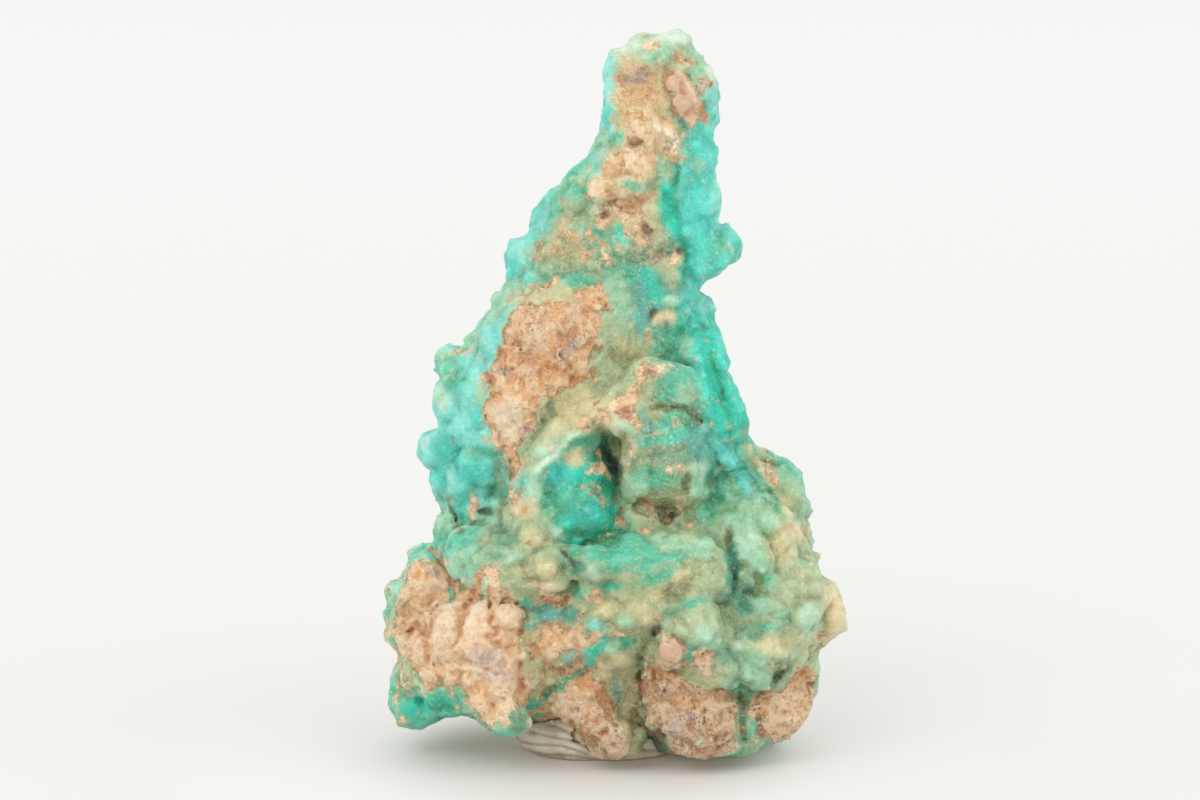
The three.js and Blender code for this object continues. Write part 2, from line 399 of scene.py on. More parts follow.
# Hollows with a crisp edge: how near the viewer each one ends, how softly it is cut, and its
# outline as the viewer sees it.
shafts = {
    "darkHole": (10, 0.15, [
        (-1.9, 42.3), (-1.1, 41.6), (-0.6, 40.2), (0.2, 39.1), (1, 38.2), (1.1, 37.5), (0.5, 36.4),
        (0, 35.6), (-0.2, 36.8), (-0.8, 38.2), (-1.1, 39.8), (-1.6, 41),
    ]),
    "pocket": (13, 0.15, [
        (5.9, 32.7), (6.5, 32.2), (7.2, 32.4), (7.6, 31.7), (7.1, 30.9), (6.4, 30.5), (6.7, 31.3),
        (6.3, 31.8),
    ]),
}

# The edge of the stone as the viewer sees it, across and up in mm.
outline = [
    (-0.4, 91.9), (2, 92.7), (3, 93.7), (5.2, 94.3), (6, 94), (8.2, 94.7), (9.7, 93.6), (9.5, 93),
    (11, 92.2), (11.6, 91.2), (11.4, 90.4), (12.5, 90), (13.2, 88), (13.5, 83.3), (12.6, 81.6),
    (12.6, 80.5), (13.4, 78.8), (12.9, 77), (13.8, 72.3), (13.3, 69.6), (14.5, 69.3), (16, 68.5),
    (16.6, 67.2), (16.2, 65.8), (14, 63.5), (12, 62.2), (10.9, 60.3), (12.2, 59.9), (13.2, 58.8),
    (13, 57.2), (14.2, 53.6), (15, 50), (16.7, 46.2), (17.6, 42.6), (17.8, 40.9), (20, 40), (21.3, 38.5),
    (22.3, 38.7), (24.2, 37.4), (24.6, 36.7), (24, 35), (25.5, 32.2), (24.6, 31), (26, 28.4), (25.6, 27.1),
    (26.9, 26.6), (26.2, 25), (26.8, 24), (28, 23.5), (29.5, 21), (30.1, 18.2), (29.8, 17), (28.8, 16.6),
    (26.2, 14.2), (26.7, 10.5), (26.6, 9), (24, 3.9), (22.6, 2.7), (21, 2), (16, 0.6), (0, 0), (-8, 0),
    (-12, 0.8), (-13.4, 2.4), (-15.8, 3.4), (-16.5, 4.2), (-20, 6.2), (-20.8, 5.6), (-24.2, 5),
    (-25.2, 4.1), (-27.8, 4.5), (-28.4, 5.8), (-29.3, 9), (-29.1, 10.5), (-28, 13.8), (-29.5, 15.6),
    (-29.2, 17), (-30.2, 19), (-29.5, 20.6), (-29.9, 21.8), (-28.3, 23), (-26.7, 25), (-26.4, 26.9),
    (-25, 28.1), (-23.7, 27.7), (-22.9, 31.1), (-22.2, 32), (-23.3, 33.7), (-23.8, 36), (-23.6, 37.7),
    (-25.1, 38.3), (-25.7, 39.9), (-25.2, 41.7), (-24.1, 42.5), (-23, 42.9), (-22.7, 44.3), (-23.4, 45.5),
    (-23.8, 46.8), (-22.9, 49.1), (-22.7, 51.2), (-23.2, 52.5), (-22.7, 53.5), (-21.4, 53.9), (-19.8, 53.2),
    (-19.2, 54.5), (-18.3, 55.6), (-18, 56.6), (-17, 57.8), (-15.6, 58.7), (-15.7, 59.9), (-14.2, 62.4),
    (-13.9, 63.8), (-14.2, 65.4), (-13.7, 67), (-12.4, 67.8), (-11.2, 68.2), (-10.4, 71.6), (-8.4, 73.9),
    (-6.8, 74.8), (-6.2, 76), (-4.5, 77.7), (-3.2, 78.4), (-2, 81), (-1.4, 85), (-1.3, 88),
]

# Lobes and lumps that stand on the surface: how far each stands proud, then its oval. An oval is
# across, up, half-width, half-height and the turn as the viewer sees it, left out where it is 0.
lobes = {
    "spire": [
        (0.5, -0.6, 88.8, 1.1, 1.4), (0.5, -1.2, 83.2, 1, 1.3), (0.5, -1.7, 80.9, 1.1, 1.2),
        (0.5, 0.6, 91.6, 1.3, 1, 20), (0.5, 3.2, 92.6, 1.6, 1, 10), (0.5, 6.4, 93.2, 1.8, 1),
        (0.6, 8.7, 93.3, 1.3, 1.1), (0.7, 10.5, 91.6, 1.2, 1.1), (0.6, 12, 89.4, 1.1, 1.2),
        (0.5, 10, 88.4, 1, 1.2), (0.5, 12.6, 86.6, 0.9, 1.2), (0.6, 12.7, 83.4, 1.1, 1.1),
        (0.5, 11.9, 80.9, 1.2, 1.4), (0.6, 11.4, 87.6, 1, 0.95), (0.5, 0.9, 87.3, 1, 1.2),
        (0.5, 3, 89.2, 1.7, 1.3), (0.6, 2.4, 84.8, 2, 0.9, 6), (0.6, 7.3, 80.8, 1.5, 0.7, -40),
        (0.6, 0.4, 78.2, 1.8, 1, 10), (0.5, 3.4, 77.6, 1.8, 1.1), (0.6, 7.8, 78.8, 0.8, 0.8),
        (0.5, -2.4, 76, 1.3, 0.9, 30), (0.5, -0.4, 74.4, 1.4, 0.9), (0.4, 6.4, 76.2, 1, 1.6),
        (0.5, 10.6, 76.8, 1.3, 1.6), (0.5, 11.6, 72.4, 1.6, 2.2), (0.4, 12.6, 75.6, 1, 1.6),
        (0.5, 12.4, 69.6, 1.2, 1.6), (0.4, 10, 68.4, 1.4, 2.2, 8), (0.4, 11.2, 64.8, 1.4, 2),
        (0.6, -4.2, 76.6, 1.4, 1, 34), (0.6, -6.2, 74.6, 1.5, 1, 20), (0.4, -4.4, 73.2, 1.6, 1),
        (0.6, -8.2, 72.4, 1.3, 1.2, 40), (0.5, -9.6, 70.6, 1.1, 1.2), (0.4, -6.6, 71.4, 1.6, 1.2),
    ],
    "spire pits": [
        (0.5, -2.6, 71.2, 0.8, 1.2), (0.6, 6, 67.3, 1, 1), (0.5, 7.5, 68.1, 0.8, 0.8),
        (0.5, 8.2, 64.6, 0.9, 0.8), (0.5, 7.5, 62.6, 1, 1),
    ],
    "waist": [
        (0.8, -12.3, 65.6, 2, 2.1), (0.6, -12.4, 62.6, 1.7, 1.7), (0.3, -9.4, 67, 1.5, 1.2),
        (0.3, -6.4, 67.2, 2.2, 1.6, 10), (0.3, -4, 64.6, 2.2, 1.2), (0.4, 14.6, 67.2, 1.9, 1.7, 40),
        (0.3, 12.6, 65, 1.6, 1.8, 30), (0.3, 0.8, 67.2, 1.3, 1.6), (0.3, 1.6, 61.8, 2.2, 1.6),
        (0.3, 4.4, 61.6, 1.2, 1.8), (0.3, -0.6, 58, 1.6, 2.6), (0.3, 2.6, 57.2, 1, 3),
        (0.5, 7.2, 59.6, 1.4, 1.2), (0.5, 6.8, 57.4, 1.8, 0.9), (0.5, 11.8, 58.9, 1.3, 1.2),
        (0.3, 10.6, 56.8, 1.3, 1.4), (0.3, 1.2, 53.6, 2, 1.2), (0.3, -8.6, 60.8, 3, 0.8, 8),
    ],
    "left flank": [
        (0.6, -14.2, 60.6, 1.5, 1.2, 30), (0.8, -16.1, 58, 1.4, 1.8, -34), (0.7, -18, 55, 1.5, 1.5, -20),
        (0.8, -15.9, 54.6, 1.7, 2.1), (0.8, -21.6, 52.6, 1.5, 1.2), (0.8, -21.2, 50, 1.7, 1.8),
        (0.8, -22.4, 46.9, 1.4, 1.7), (0.8, -18.5, 51.2, 1.5, 1.9), (0.8, -18.6, 47.8, 1.8, 2),
        (0.6, -20.9, 45.6, 1.3, 1.5), (1.2, -18.7, 43.2, 2.5, 2.6), (0.6, -22.2, 43.4, 1.4, 1.4),
        (1.1, -23.9, 40.5, 1.8, 2), (0.8, -21.6, 40.6, 1.7, 2.2), (0.7, -16.4, 41.2, 1.9, 1.6),
        (1.3, -17.8, 38.2, 2.7, 2.6), (0.8, -14.9, 37.8, 1.2, 2.8, 6), (0.9, -22.3, 36.8, 1.8, 1.8),
        (0.6, -20.3, 36.6, 1.3, 1.4), (0.7, -16.8, 35.4, 1.6, 1.2), (0.7, -19.6, 34.4, 1.5, 1.3),
        (0.8, -22.3, 33.9, 1.4, 1.4), (0.6, -20.4, 32.2, 1.4, 1.3), (1.3, -18.7, 32.2, 0.95, 1.9, 8),
        (0.7, -15.2, 33, 0.9, 0.9), (0.7, -21.9, 30.8, 1.5, 1.6), (0.6, -19.4, 29.8, 1.6, 1.1),
        (0.7, -23, 28.4, 1.6, 1.3), (0.6, -12.9, 34.3, 1, 0.9), (0.6, -12.6, 32, 1.7, 1.3, 20),
        (0.5, -10.6, 34, 1.3, 1.5), (0.6, -15, 31, 1.8, 1.1),
    ],
    "rock above": [
        (0.4, -12, 57.4, 1.8, 1.5), (0.3, -9, 57.6, 1.8, 1.1, 10), (0.4, -5.6, 58.4, 2.2, 1.1, 10),
        (0.3, -10, 54.8, 1.7, 1.7), (0.6, -5, 54.6, 2.4, 1.4, 34), (0.6, -4.4, 51.6, 2, 1.4, 20),
        (0.4, -8, 52, 1.8, 1.3), (0.4, -14.6, 50.7, 1.7, 1.1, -10), (0.3, -11.2, 50, 1.6, 1.2),
        (0.3, -8.4, 49.2, 2, 0.9, 10), (0.3, -12.8, 46.9, 1.8, 1.2, -10), (0.4, -13.9, 44.3, 1.8, 1.6),
        (0.3, -12.8, 39.8, 1, 2, 6),
    ],
    "ridge": [
        (0.5, 4.6, 51.6, 1, 0.6), (0.5, 2.2, 45.2, 1.3, 1, 20), (0.4, 1.5, 43.3, 1.6, 0.9, -16),
    ],
    "bowl": [
        (0.4, -6.2, 35.6, 2.6, 2.2, 30), (0.4, -2.8, 31.8, 2.8, 2.6), (0.4, -6.2, 31, 2.4, 2),
    ],
    "brow": [
        (0.5, -0.2, 41.2, 0.7, 0.8), (0.5, 0.7, 39.9, 0.8, 0.8), (0.5, 1.6, 38.6, 0.8, 0.8),
        (0.5, 11.1, 37.3, 0.8, 1.4, -6), (0.5, 11.3, 35, 1.2, 1.1), (0.4, 3.2, 32.6, 1.6, 1.2),
    ],
    "right slope": [
        (0.3, 12.6, 51.8, 1.4, 2, 10), (0.3, 14.2, 47.8, 1.3, 2.4, 14), (0.3, 11.8, 48, 0.9, 2.4, 14),
        (0.3, 15.6, 43.8, 1.3, 2.2, 20), (0.3, 13.2, 43.6, 1.1, 2, 20), (0.3, 16, 40.2, 1.2, 2.4, 34),
        (0.3, 13.6, 39.8, 1, 2.4, 30), (0.3, 16.9, 37.2, 1, 2.4, 34), (0.6, 22.8, 37.4, 1.6, 1.4),
        (0.4, 23.6, 35, 1.2, 1.2), (0.3, 22, 33.6, 1.2, 1.6),
    ],
    "apron": [
        (0.6, 16.4, 32.4, 1.3, 1.1), (0.6, 18.1, 33, 0.9, 0.8), (0.6, 15.2, 31.2, 1, 0.8),
        (0.6, 17.4, 31.3, 0.9, 0.8), (0.5, 15.2, 33.2, 0.8, 0.8), (0.7, 17, 28.9, 1.2, 1.2),
        (0.6, 18.4, 28, 1.2, 1.3), (0.6, 17.4, 26.6, 1.1, 1.2), (0.6, 19, 25.4, 1.2, 1.3),
        (0.7, 17.1, 23.2, 1.1, 1.1), (0.7, 19.2, 19.6, 1.2, 1), (0.6, 20.3, 22.6, 1, 1.1),
        (0.5, 20.4, 17.5, 1.2, 1), (0.6, 19.8, 30.4, 1.1, 1), (0.6, 21.2, 31.4, 1, 0.9),
        (0.6, 20.6, 28.6, 1.1, 1), (0.6, 22.6, 29.6, 1.2, 0.9), (0.6, 24.2, 29.4, 1.1, 1),
        (0.5, 22.4, 27.4, 1.1, 0.9), (0.5, 20.7, 26.8, 0.9, 0.8), (0.5, 24.4, 27, 1.1, 1),
        (0.6, 22.4, 25.2, 1, 0.8), (0.5, 24.4, 24.4, 1.2, 1.1), (0.5, 22.6, 22.2, 1.2, 1.1),
        (0.5, 25.4, 22.2, 1.3, 1.2), (0.5, 27.6, 21.6, 1.2, 1.3), (0.6, 23.8, 19, 1.7, 1.6),
        (0.6, 28, 18.6, 1.5, 1.5), (0.5, 21.8, 20, 1, 1), (0.5, 21.6, 14.6, 1.5, 1.1),
        (0.5, 19, 13.8, 1.2, 1), (0.5, 16.9, 12.6, 1.5, 1.2), (0.5, 18.6, 10.8, 1.4, 1.1),
        (0.6, 16.2, 14.7, 0.6, 0.8), (0.4, 14.3, 13, 1.3, 1.1), (0.5, 26.8, 26.6, 0.8, 0.7),
    ],
    "tongue": [
        (0.4, -0.8, 19.6, 1.4, 1.1),
    ],
    "lobe band": [
        (0.8, -15, 28.7, 2.2, 1.5), (0.6, -17.6, 28.6, 1.4, 1.2), (0.8, -20.2, 25.6, 1.7, 1.6),
        (0.6, -18.2, 26, 1.2, 1.2), (0.6, -15.8, 26.4, 1.5, 1), (0.6, -13.4, 26.4, 1.5, 1.1),
        (0.6, -11, 29.6, 1.6, 1.2), (0.6, -8.6, 29.4, 1.4, 1, -10), (0.6, -7, 28.2, 1.1, 1),
        (0.5, -9.2, 27.2, 1.5, 1.1), (0.5, -12.6, 23.6, 1.2, 1.4), (0.6, -10.9, 24.8, 1.3, 1.2),
        (0.6, -8.8, 24.6, 1.4, 1.3), (0.6, -25.2, 27.2, 1.2, 0.9), (0.5, -27.2, 24, 1, 1.3, -30),
        (0.5, -28.9, 21.8, 1.1, 1),
    ],
    "lower left rock": [
        (0.8, -24.6, 24.6, 1.9, 1.6), (0.8, -22.5, 22.6, 1.2, 1.1), (0.6, -26.6, 21.6, 1.5, 1.6),
        (0.5, -24.6, 20.2, 1.8, 1), (0.5, -27.6, 18.4, 1.3, 1.6), (0.4, -21.9, 17.2, 1.7, 2.9, 20),
        (0.4, -17.9, 17.8, 2.1, 1.9), (0.2, -19, 14, 2, 1.9, 10), (0.7, -14, 18.5, 1.5, 1.5),
        (0.4, -15.3, 20.8, 1.6, 1.4), (0.4, -13, 16, 1.3, 1.1), (0.2, -16, 14, 2.2, 1.7),
        (0.3, -13.4, 12.8, 1.7, 1.8), (0.2, -17.6, 11, 2, 1.7), (0.3, -14.4, 9.6, 1.8, 1.8),
        (0.3, -17, 7.8, 1.9, 1.7), (0.4, -14, 6.4, 1.8, 1.4), (0.5, -11.3, 9.8, 1.1, 1.1),
        (0.4, -20.6, 11, 1.4, 1.5), (0.6, -24.4, 14.2, 1.8, 1.7), (0.5, -26.6, 15.2, 1.4, 1.3),
        (0.5, -23, 11.2, 1.5, 1.3), (0.4, -27.4, 11.4, 1.1, 1.6), (0.4, -11.6, 14.6, 1, 1.4),
        (0.6, -15.6, 23.4, 1, 1.3, -10), (0.5, -22.2, 14.2, 1.2, 1), (0.4, -24.4, 6.8, 2.2, 1.3),
        (0.4, -27, 6.2, 1.3, 1.4), (0.4, -12.4, 5, 1.4, 1.2),
    ],
    "foot rock": [
        (0.6, -8, 21, 2.3, 0.6, -8), (0.4, -8.8, 15.8, 1.6, 1.3), (0.4, -5.6, 15.8, 1.6, 1.2),
        (0.4, -3.4, 9.2, 1.3, 1.5, -30), (0.4, -5.6, 7.8, 1.5, 1.1, -30), (0.4, -2.6, 6.2, 1.6, 1.2, -20),
        (0.4, -0.2, 3, 1.4, 1.5, 20), (0.3, 1, 10.4, 1, 2.4), (0.3, 1.4, 6, 1, 2),
        (0.3, 2.2, 2.4, 0.9, 1.8), (0.6, 11.3, 12.6, 1.2, 0.9), (0.3, 8.6, 8.6, 1.8, 1.3, -14),
        (0.3, 12.2, 6.8, 1.9, 1.4, -10), (0.3, 7.4, 5.4, 1.8, 1.4), (0.3, 11, 3.6, 2, 1.4),
        (0.5, 24.4, 11.2, 1.6, 1.4), (0.3, 25.4, 8.6, 1.3, 1.5), (0.3, 22.6, 8.6, 1.6, 1.2),
        (0.3, 20, 5.4, 1.7, 1.2, 20), (0.3, 23.2, 5.2, 1.5, 1.4), (0.3, 17, 4.6, 0.9, 1.8, -20),
    ],
}

# Flat stones set in the surface: how far each stands proud, and its outline.
chips = [
    (0.7, [(6.4, 15.6), (7.6, 15.4), (8.9, 13.1), (8.3, 11.9), (7, 11.6), (5.2, 12), (5.5, 13.6)]),
    (0.5, [
        (7, 88.6), (8.6, 89.3), (10.6, 86.6), (11.3, 84.6), (10.2, 82.1), (9.5, 82.2), (8.1, 84.4),
        (7.6, 86.2),
    ]),
    (0.4, [(10.6, 87.2), (11, 88.3), (12, 88.4), (12.4, 87.6), (11.6, 86.5)]),
    (0.5, [(10.2, 13.3), (12.2, 13.2), (12.3, 11.6), (11, 11.2), (10, 12)]),
    (0.4, [(-6.6, 27), (-5.6, 25.6), (-4.6, 27), (-5.4, 28)]),
    (0.4, [(3.9, 54.6), (4.8, 54.4), (4.9, 55.8), (4.2, 56.1)]),
    (-0.7, [(2.4, 34), (5, 33.3), (7.7, 33.2), (8.3, 31.8), (6.8, 30.5), (4.4, 31.4), (2.6, 32.4)]),
]

# Pits: depth and oval.
pits = [
    (0.8, -1.1, 70.9, 0.7, 0.6), (0.8, 4.1, 68.9, 0.7, 0.9, 20), (0.7, 8.4, 66.2, 0.5, 0.6, 20),
    (0.4, 2.1, 64.6, 0.6, 0.4), (0.4, 6.3, 91.5, 0.35, 0.35), (0.5, 2.8, 80.2, 0.9, 0.4, 10),
    (0.2, 1.3, 71.5, 0.6, 0.3), (0.6, -2.3, 52.4, 0.5, 1.2, -30), (0.3, -6.9, 56.6, 0.6, 0.3),
    (0.3, -10.6, 52, 0.4, 0.3), (0.3, -11.8, 49, 0.5, 0.3, 30), (0.4, -11.5, 42.8, 0.5, 0.4, -20),
    (0.3, -5.6, 49.4, 0.6, 0.3, -20), (0.5, 5, 58.2, 0.5, 0.7), (0.4, -16.5, 32.3, 0.9, 0.5),
    (0.7, 20.4, 38.5, 1.2, 0.5, -28), (0.4, 26.5, 16.1, 0.3, 0.3), (0.6, 21.2, 10.9, 0.7, 0.65),
    (0.5, -24.6, 16.6, 0.8, 0.35, -30), (0.5, -11.9, 16.5, 0.4, 0.4), (0.5, -23.2, 12.2, 0.6, 0.5),
    (0.3, -11, 23.4, 0.4, 0.25), (0.5, -21.1, 31.6, 0.4, 0.9, 20), (0.5, -20.4, 30, 0.8, 0.4),
    (0.4, -2.5, 4.7, 0.8, 0.35), (0.5, 5.6, 16.8, 0.9, 0.6, 40), (0.5, 9.6, 36, 0.5, 1.4),
    (0.3, -4.9, 25, 1.1, 0.8), (0.4, -26, 9.2, 0.6, 0.4),
]

# Grooves and ribs, drawn along the surface: half-width, depth (below nothing for a rib), path.
strokes = [
    (0.3, 0.15, [(8.1, 78.6), (8.5, 76.4), (8.1, 74.6), (8.1, 71.4), (8.6, 68.2), (9, 65.8), (8.8, 63.6)]),
    (0.4, 0.5, [(5.2, 45.9), (8.4, 45.3), (10.2, 44.9), (11, 44)]),
    (0.3, 0.6, [(-18.6, 20.6), (-19.3, 19.4), (-19, 18.4), (-20.1, 17.4), (-20.3, 16.2), (-21, 14.8)]),
    (0.25, 0.6, [(-16.3, 20.4), (-15.8, 19), (-16.2, 17.8), (-15.2, 16.8), (-15.8, 16), (-17, 15.8)]),
    (0.25, 0.6, [(-15.6, 15), (-14.6, 14.4), (-13.2, 15), (-12.6, 16.4)]),
    (0.4, 0.5, [(-24.2, 13.6), (-24.6, 15.6), (-23.8, 18.4), (-22.2, 20.2), (-20.4, 21), (-17.6, 20.7)]),
    (0.3, 0.4, [(-19.4, 12.6), (-17.4, 12.4), (-15, 11.4)]),
    (0.3, 0.6, [(-12.4, 12.6), (-12, 10.6), (-12.8, 8.6)]),
    (0.4, 0.7, [(-24.2, 17.2), (-25.4, 17.6), (-26.8, 16.6)]),
    (0.25, 0.3, [(-19.8, 19.9), (-18.2, 19), (-17.4, 17.4)]),
    (0.25, 0.25, [(-20.2, 12.4), (-18.4, 13.6), (-16.8, 13.2)]),
    (0.25, 0.25, [(-18.8, 10.6), (-17, 9.4), (-16.4, 7.6)]),
    (0.25, 0.25, [(-14.6, 12.2), (-13.8, 10.4), (-14.4, 8.4)]),
    (0.25, 0.25, [(-23.4, 13.4), (-21.8, 12.4), (-20.4, 13.6)]),
    (0.35, 0.3, [(-6.9, 27), (-5.6, 25.1), (-4.2, 25.8), (-3, 27.2)]),
    (0.4, 0.6, [(5, 11.6), (7, 11.2), (8.8, 11.3)]),
    (0.4, 0.3, [(15, 29.8), (15.4, 27.6), (16.2, 25), (15.8, 22.6)]),
    (0.5, 0.4, [(17.6, 21.6), (18.4, 20.9), (19.6, 21.2)]),
    (0.4, 0.5, [(18.4, 24.2), (18.8, 22.6), (18.2, 21.2)]),
    (0.3, 0.2, [(2.6, 34.3), (3.8, 33.8), (5, 33.4)]),
    (0.4, 0.5, [(16.2, 8.6), (16.8, 7), (16.2, 5), (16.6, 2.8)]),
    (0.4, 0.5, [(-9, 8.6), (-6.4, 10.4), (-3.8, 11.9)]),
    (0.5, 0.25, [(-8.4, 46.4), (-9.2, 44), (-10.6, 41.4)]),
    (0.3, 0.4, [(11, 57), (11.4, 56.2), (12, 55.8)]),
    (0.5, -0.5, [(-10.4, 37.6), (-8.8, 38.8), (-7.4, 39.6), (-6, 41.4), (-4.4, 41.8)]),
    (0.4, -0.4, [(5.2, 29.4), (7.8, 29.4), (10, 28.8)]), (0.4, -0.3, [(-5, 28.6), (-1, 29), (3.2, 28.6)]),
    (0.35, -0.35, [(5.2, 82.1), (7.5, 80.6), (8.3, 79.5)]),
    (0.4, -0.4, [(-14.3, 39.6), (-14.6, 37.6), (-14, 35.6)]),
    (0.35, -0.14, [(10.4, 52.4), (11.6, 48.6), (12.2, 45)]),
    (0.35, -0.14, [(12.6, 43), (15.2, 38.6), (17.6, 35.2)]),
    (0.35, -0.14, [(14.4, 41.8), (16.6, 38.4), (19, 35)]),
    (0.35, -0.14, [(16.6, 41.2), (18.4, 38.6), (20.2, 35.4)]),
    (0.3, -0.3, [(-0.6, 25.6), (4, 26.6), (8, 26)]), (0.4, -0.35, [(5.8, 22.6), (9.4, 24), (12.4, 25.4)]),
]

# How knobbly the crust is, by region: share and oval.
knobbly = [
    (0.3, 10, 47, 8, 13, 10), (0.15, -4, 34, 6, 7, 20), (0.15, -4, 44, 8, 4, 30), (0.2, 2, 59, 7, 9),
    (0.25, 3, 26, 9, 4, 10), (0.9, 22, 26, 6, 12, 10), (0.8, 17, 18, 4, 10), (0.5, 12, 17, 5, 4),
    (0.7, -10, 27, 7, 4), (0.5, -20, 44, 6, 18), (0.3, 11, 72, 4, 12), (0.7, 20, 36, 5, 5),
    (0.15, 1, 8, 2.5, 8), (0.3, -6, 67, 7, 6),
]

# Where grains of rock show through the crust: the share they take, and the oval.
flecked = [
    (0.5, -5.5, 66.5, 6.5, 3.6, 8), (0.35, 1, 62, 5, 9), (0.4, 4, 54, 5, 4), (0.5, 6, 42, 5.5, 7),
    (0.6, 5.5, 33.5, 5.5, 3), (0.3, 9, 22, 6, 4, 14), (0.35, 1, 15, 4, 4), (0.4, 12, 12, 4, 2.6, -16),
    (0.5, 6.4, 87, 1.8, 4.5), (0.25, 22, 15, 5, 5), (0.35, -9.5, 24, 4, 3), (0.55, -9, 11, 3, 4),
    (0.5, -4, 45, 7, 3.4, 32), (0.45, 1.4, 7, 1.8, 7), (0.3, -12, 33, 3, 3), (0.35, -5, 74, 4, 2.4, 36),
    (0.5, 3.6, 68, 4, 4), (0.2, 24, 27, 4, 6, 20), (0.4, -27.5, 11, 2, 4), (0.25, 0.6, 49, 3.4, 2.6),
]

# How many dark specks the bare rock holds, in the same form.
gritty = [
    (0.6, -8, 54, 8, 7), (0.4, -13, 45, 4, 6), (0.06, 3, 85, 7, 10), (0.1, 1, 76, 6, 4), (0.4, 2, 71, 5, 3),
    (0.4, 5, 90, 1.2, 1.5), (0.35, -18, 14, 6, 9), (0.4, -26, 18, 3.5, 8), (0.5, -12, 10, 2, 4),
    (0.9, 9, 6, 8, 6), (0.7, 22, 7, 5, 5), (0.5, -4, 7, 5, 5), (0.4, -7, 15.5, 4, 3),
    (0.3, 0, 46, 6, 5, 30), (0.1, 7, 13.6, 2, 2), (0.1, 9, 86, 2.4, 4, 20),
]

# Colours as they look in white light.
palette = {
    "aqua": (130, 214, 202),
    "turquoise": (84, 206, 192),
    "lagoon": (58, 186, 170),
    "blueTeal": (84, 170, 158),
    "teal": (84, 184, 152),
    "greyTeal": (105, 151, 122),
    "deepTeal": (46, 138, 112),
    "emerald": (8, 191, 165),
    "jade": (8, 148, 108),
    "mint": (150, 198, 164),
    "paleMint": (176, 212, 184),
    "haze": (204, 222, 202),
    "celadon": (167, 182, 142),
    "straw": (206, 196, 150),
    "sand": (222, 200, 160),
    "olive": (158, 162, 118),
    # dark olive, painted shade in pits, grooves and crevices of the crust
    "moss": (104, 118, 76),
    "shade": (58, 74, 50),
    "sage": (132, 154, 116),
    "khaki": (164, 158, 120),
    "tan": (244, 206, 160),
    "clay": (238, 198, 154),
    "sienna": (212, 166, 116),
    "orange": (244, 184, 126),
    "ochre": (226, 190, 136),
    # rusty brown: the rock's own colour, and painted shade in its dips, grooves and some pits
    "rust": (206, 140, 94),
    "cream": (255, 236, 208),
    "peach": (250, 212, 174),
    "pinkBrown": (172, 106, 78),
    "fawn": (220, 181, 133),
    "copper": (192, 142, 94),
    "umber": (152, 107, 66),
    "lilac": (188, 170, 164),
    # dark brown: the rock's own specks, and painted shade in its pits
    "dirt": (108, 74, 48),
}


def toLinear(colour):
    value = np.array(colour, float) / 255
    return np.where(value <= 0.04045, value / 12.92, ((value + 0.055) / 1.055) ** 2.4)


canvas = {
    "across": (-36, 36),
    "up": (-6, 100),
    "pitch": 0.2,
}
canvasAcross = np.arange(*canvas["across"], canvas["pitch"])
canvasUp = np.arange(*canvas["up"], canvas["pitch"])
canvasShape = (len(canvasAcross), len(canvasUp))


def smoothStep(low, high, value):
    share = np.clip((value - low) / (high - low), 0, 1)
    return share * share * (3 - 2 * share)


def canvasPart(across, up, halfAcross, halfUp):
    # the stretch of canvas round a place, and its coordinates
    pitch = canvas["pitch"]
    left, foot = canvas["across"][0], canvas["up"][0]
    low = [int((across - halfAcross - left) / pitch), int((up - halfUp - foot) / pitch)]
    high = [low[0] + int(2 * halfAcross / pitch) + 2, low[1] + int(2 * halfUp / pitch) + 2]
    low = np.clip(low, 0, canvasShape)
    high = np.clip(high, 0, canvasShape)
    part = (slice(low[0], high[0]), slice(low[1], high[1]))
    return part, canvasAcross[part[0]][:, None], canvasUp[part[1]][None, :]


def spot(oval, soft):
    # 1 inside a turned oval and 0 outside, soft by this share of its size
    across, up, halfAcross, halfUp, turn = (*oval, 0)[:5]
    reach = max(halfAcross, halfUp) * (1 + soft)
    part, x, y = canvasPart(across, up, reach, reach)
    angle = math.radians(turn)
    a = ((x - across) * math.cos(angle) + (y - up) * math.sin(angle)) / halfAcross
    b = ((y - up) * math.cos(angle) - (x - across) * math.sin(angle)) / halfUp
    return part, 1 - smoothStep(1 - soft, 1 + soft, np.sqrt(a * a + b * b))


def lineDistance(x, y, start, end):
    ax, ay = start
    ex, ey = end[0] - ax, end[1] - ay
    along = np.clip(((x - ax) * ex + (y - ay) * ey) / (ex * ex + ey * ey), 0, 1)
    return np.hypot(x - ax - along * ex, y - ay - along * ey)


def edgeDistance(corners, x, y):
    # distance in mm outside a closed outline, below nothing inside it
    corners = np.array(corners, float)
    distance = np.full(x.shape, 1e9)
    inside = np.zeros(x.shape, bool)
    for (ax, ay), (bx, by) in zip(corners, np.roll(corners, -1, 0)):
        distance = np.minimum(distance, lineDistance(x, y, (ax, ay), (bx, by)))
        if by != ay:
            inside ^= ((ay > y) != (by > y)) & (x < (bx - ax) * (y - ay) / (by - ay) + ax)
    return np.where(inside, -distance, distance)


def canvasPartRound(corners, spare):
    # the stretch of canvas that some places lie on, with this many mm to spare
    middle = (corners.min(0) + corners.max(0)) / 2
    half = (corners.max(0) - corners.min(0)) / 2 + spare
    return canvasPart(*middle, *half)


def patch(corners, soft):
    # 1 inside a closed outline and 0 outside, soft by so many mm
    corners = np.array(corners, float)
    part, x, y = canvasPartRound(corners, soft * 2)
    x, y = np.broadcast_arrays(x, y)
    return part, 1 - smoothStep(-soft, soft, edgeDistance(corners, x, y))


def stroke(path, halfWidth):
    # 1 along a path and 0 twice its half-width away
    path = np.array(path, float)
    part, x, y = canvasPartRound(path, halfWidth * 2)
    distance = 1e9
    for start, end in zip(path[:-1], path[1:]):
        distance = np.minimum(distance, lineDistance(x, y, start, end))
    return part, 1 - smoothStep(0, 2 * halfWidth, distance)


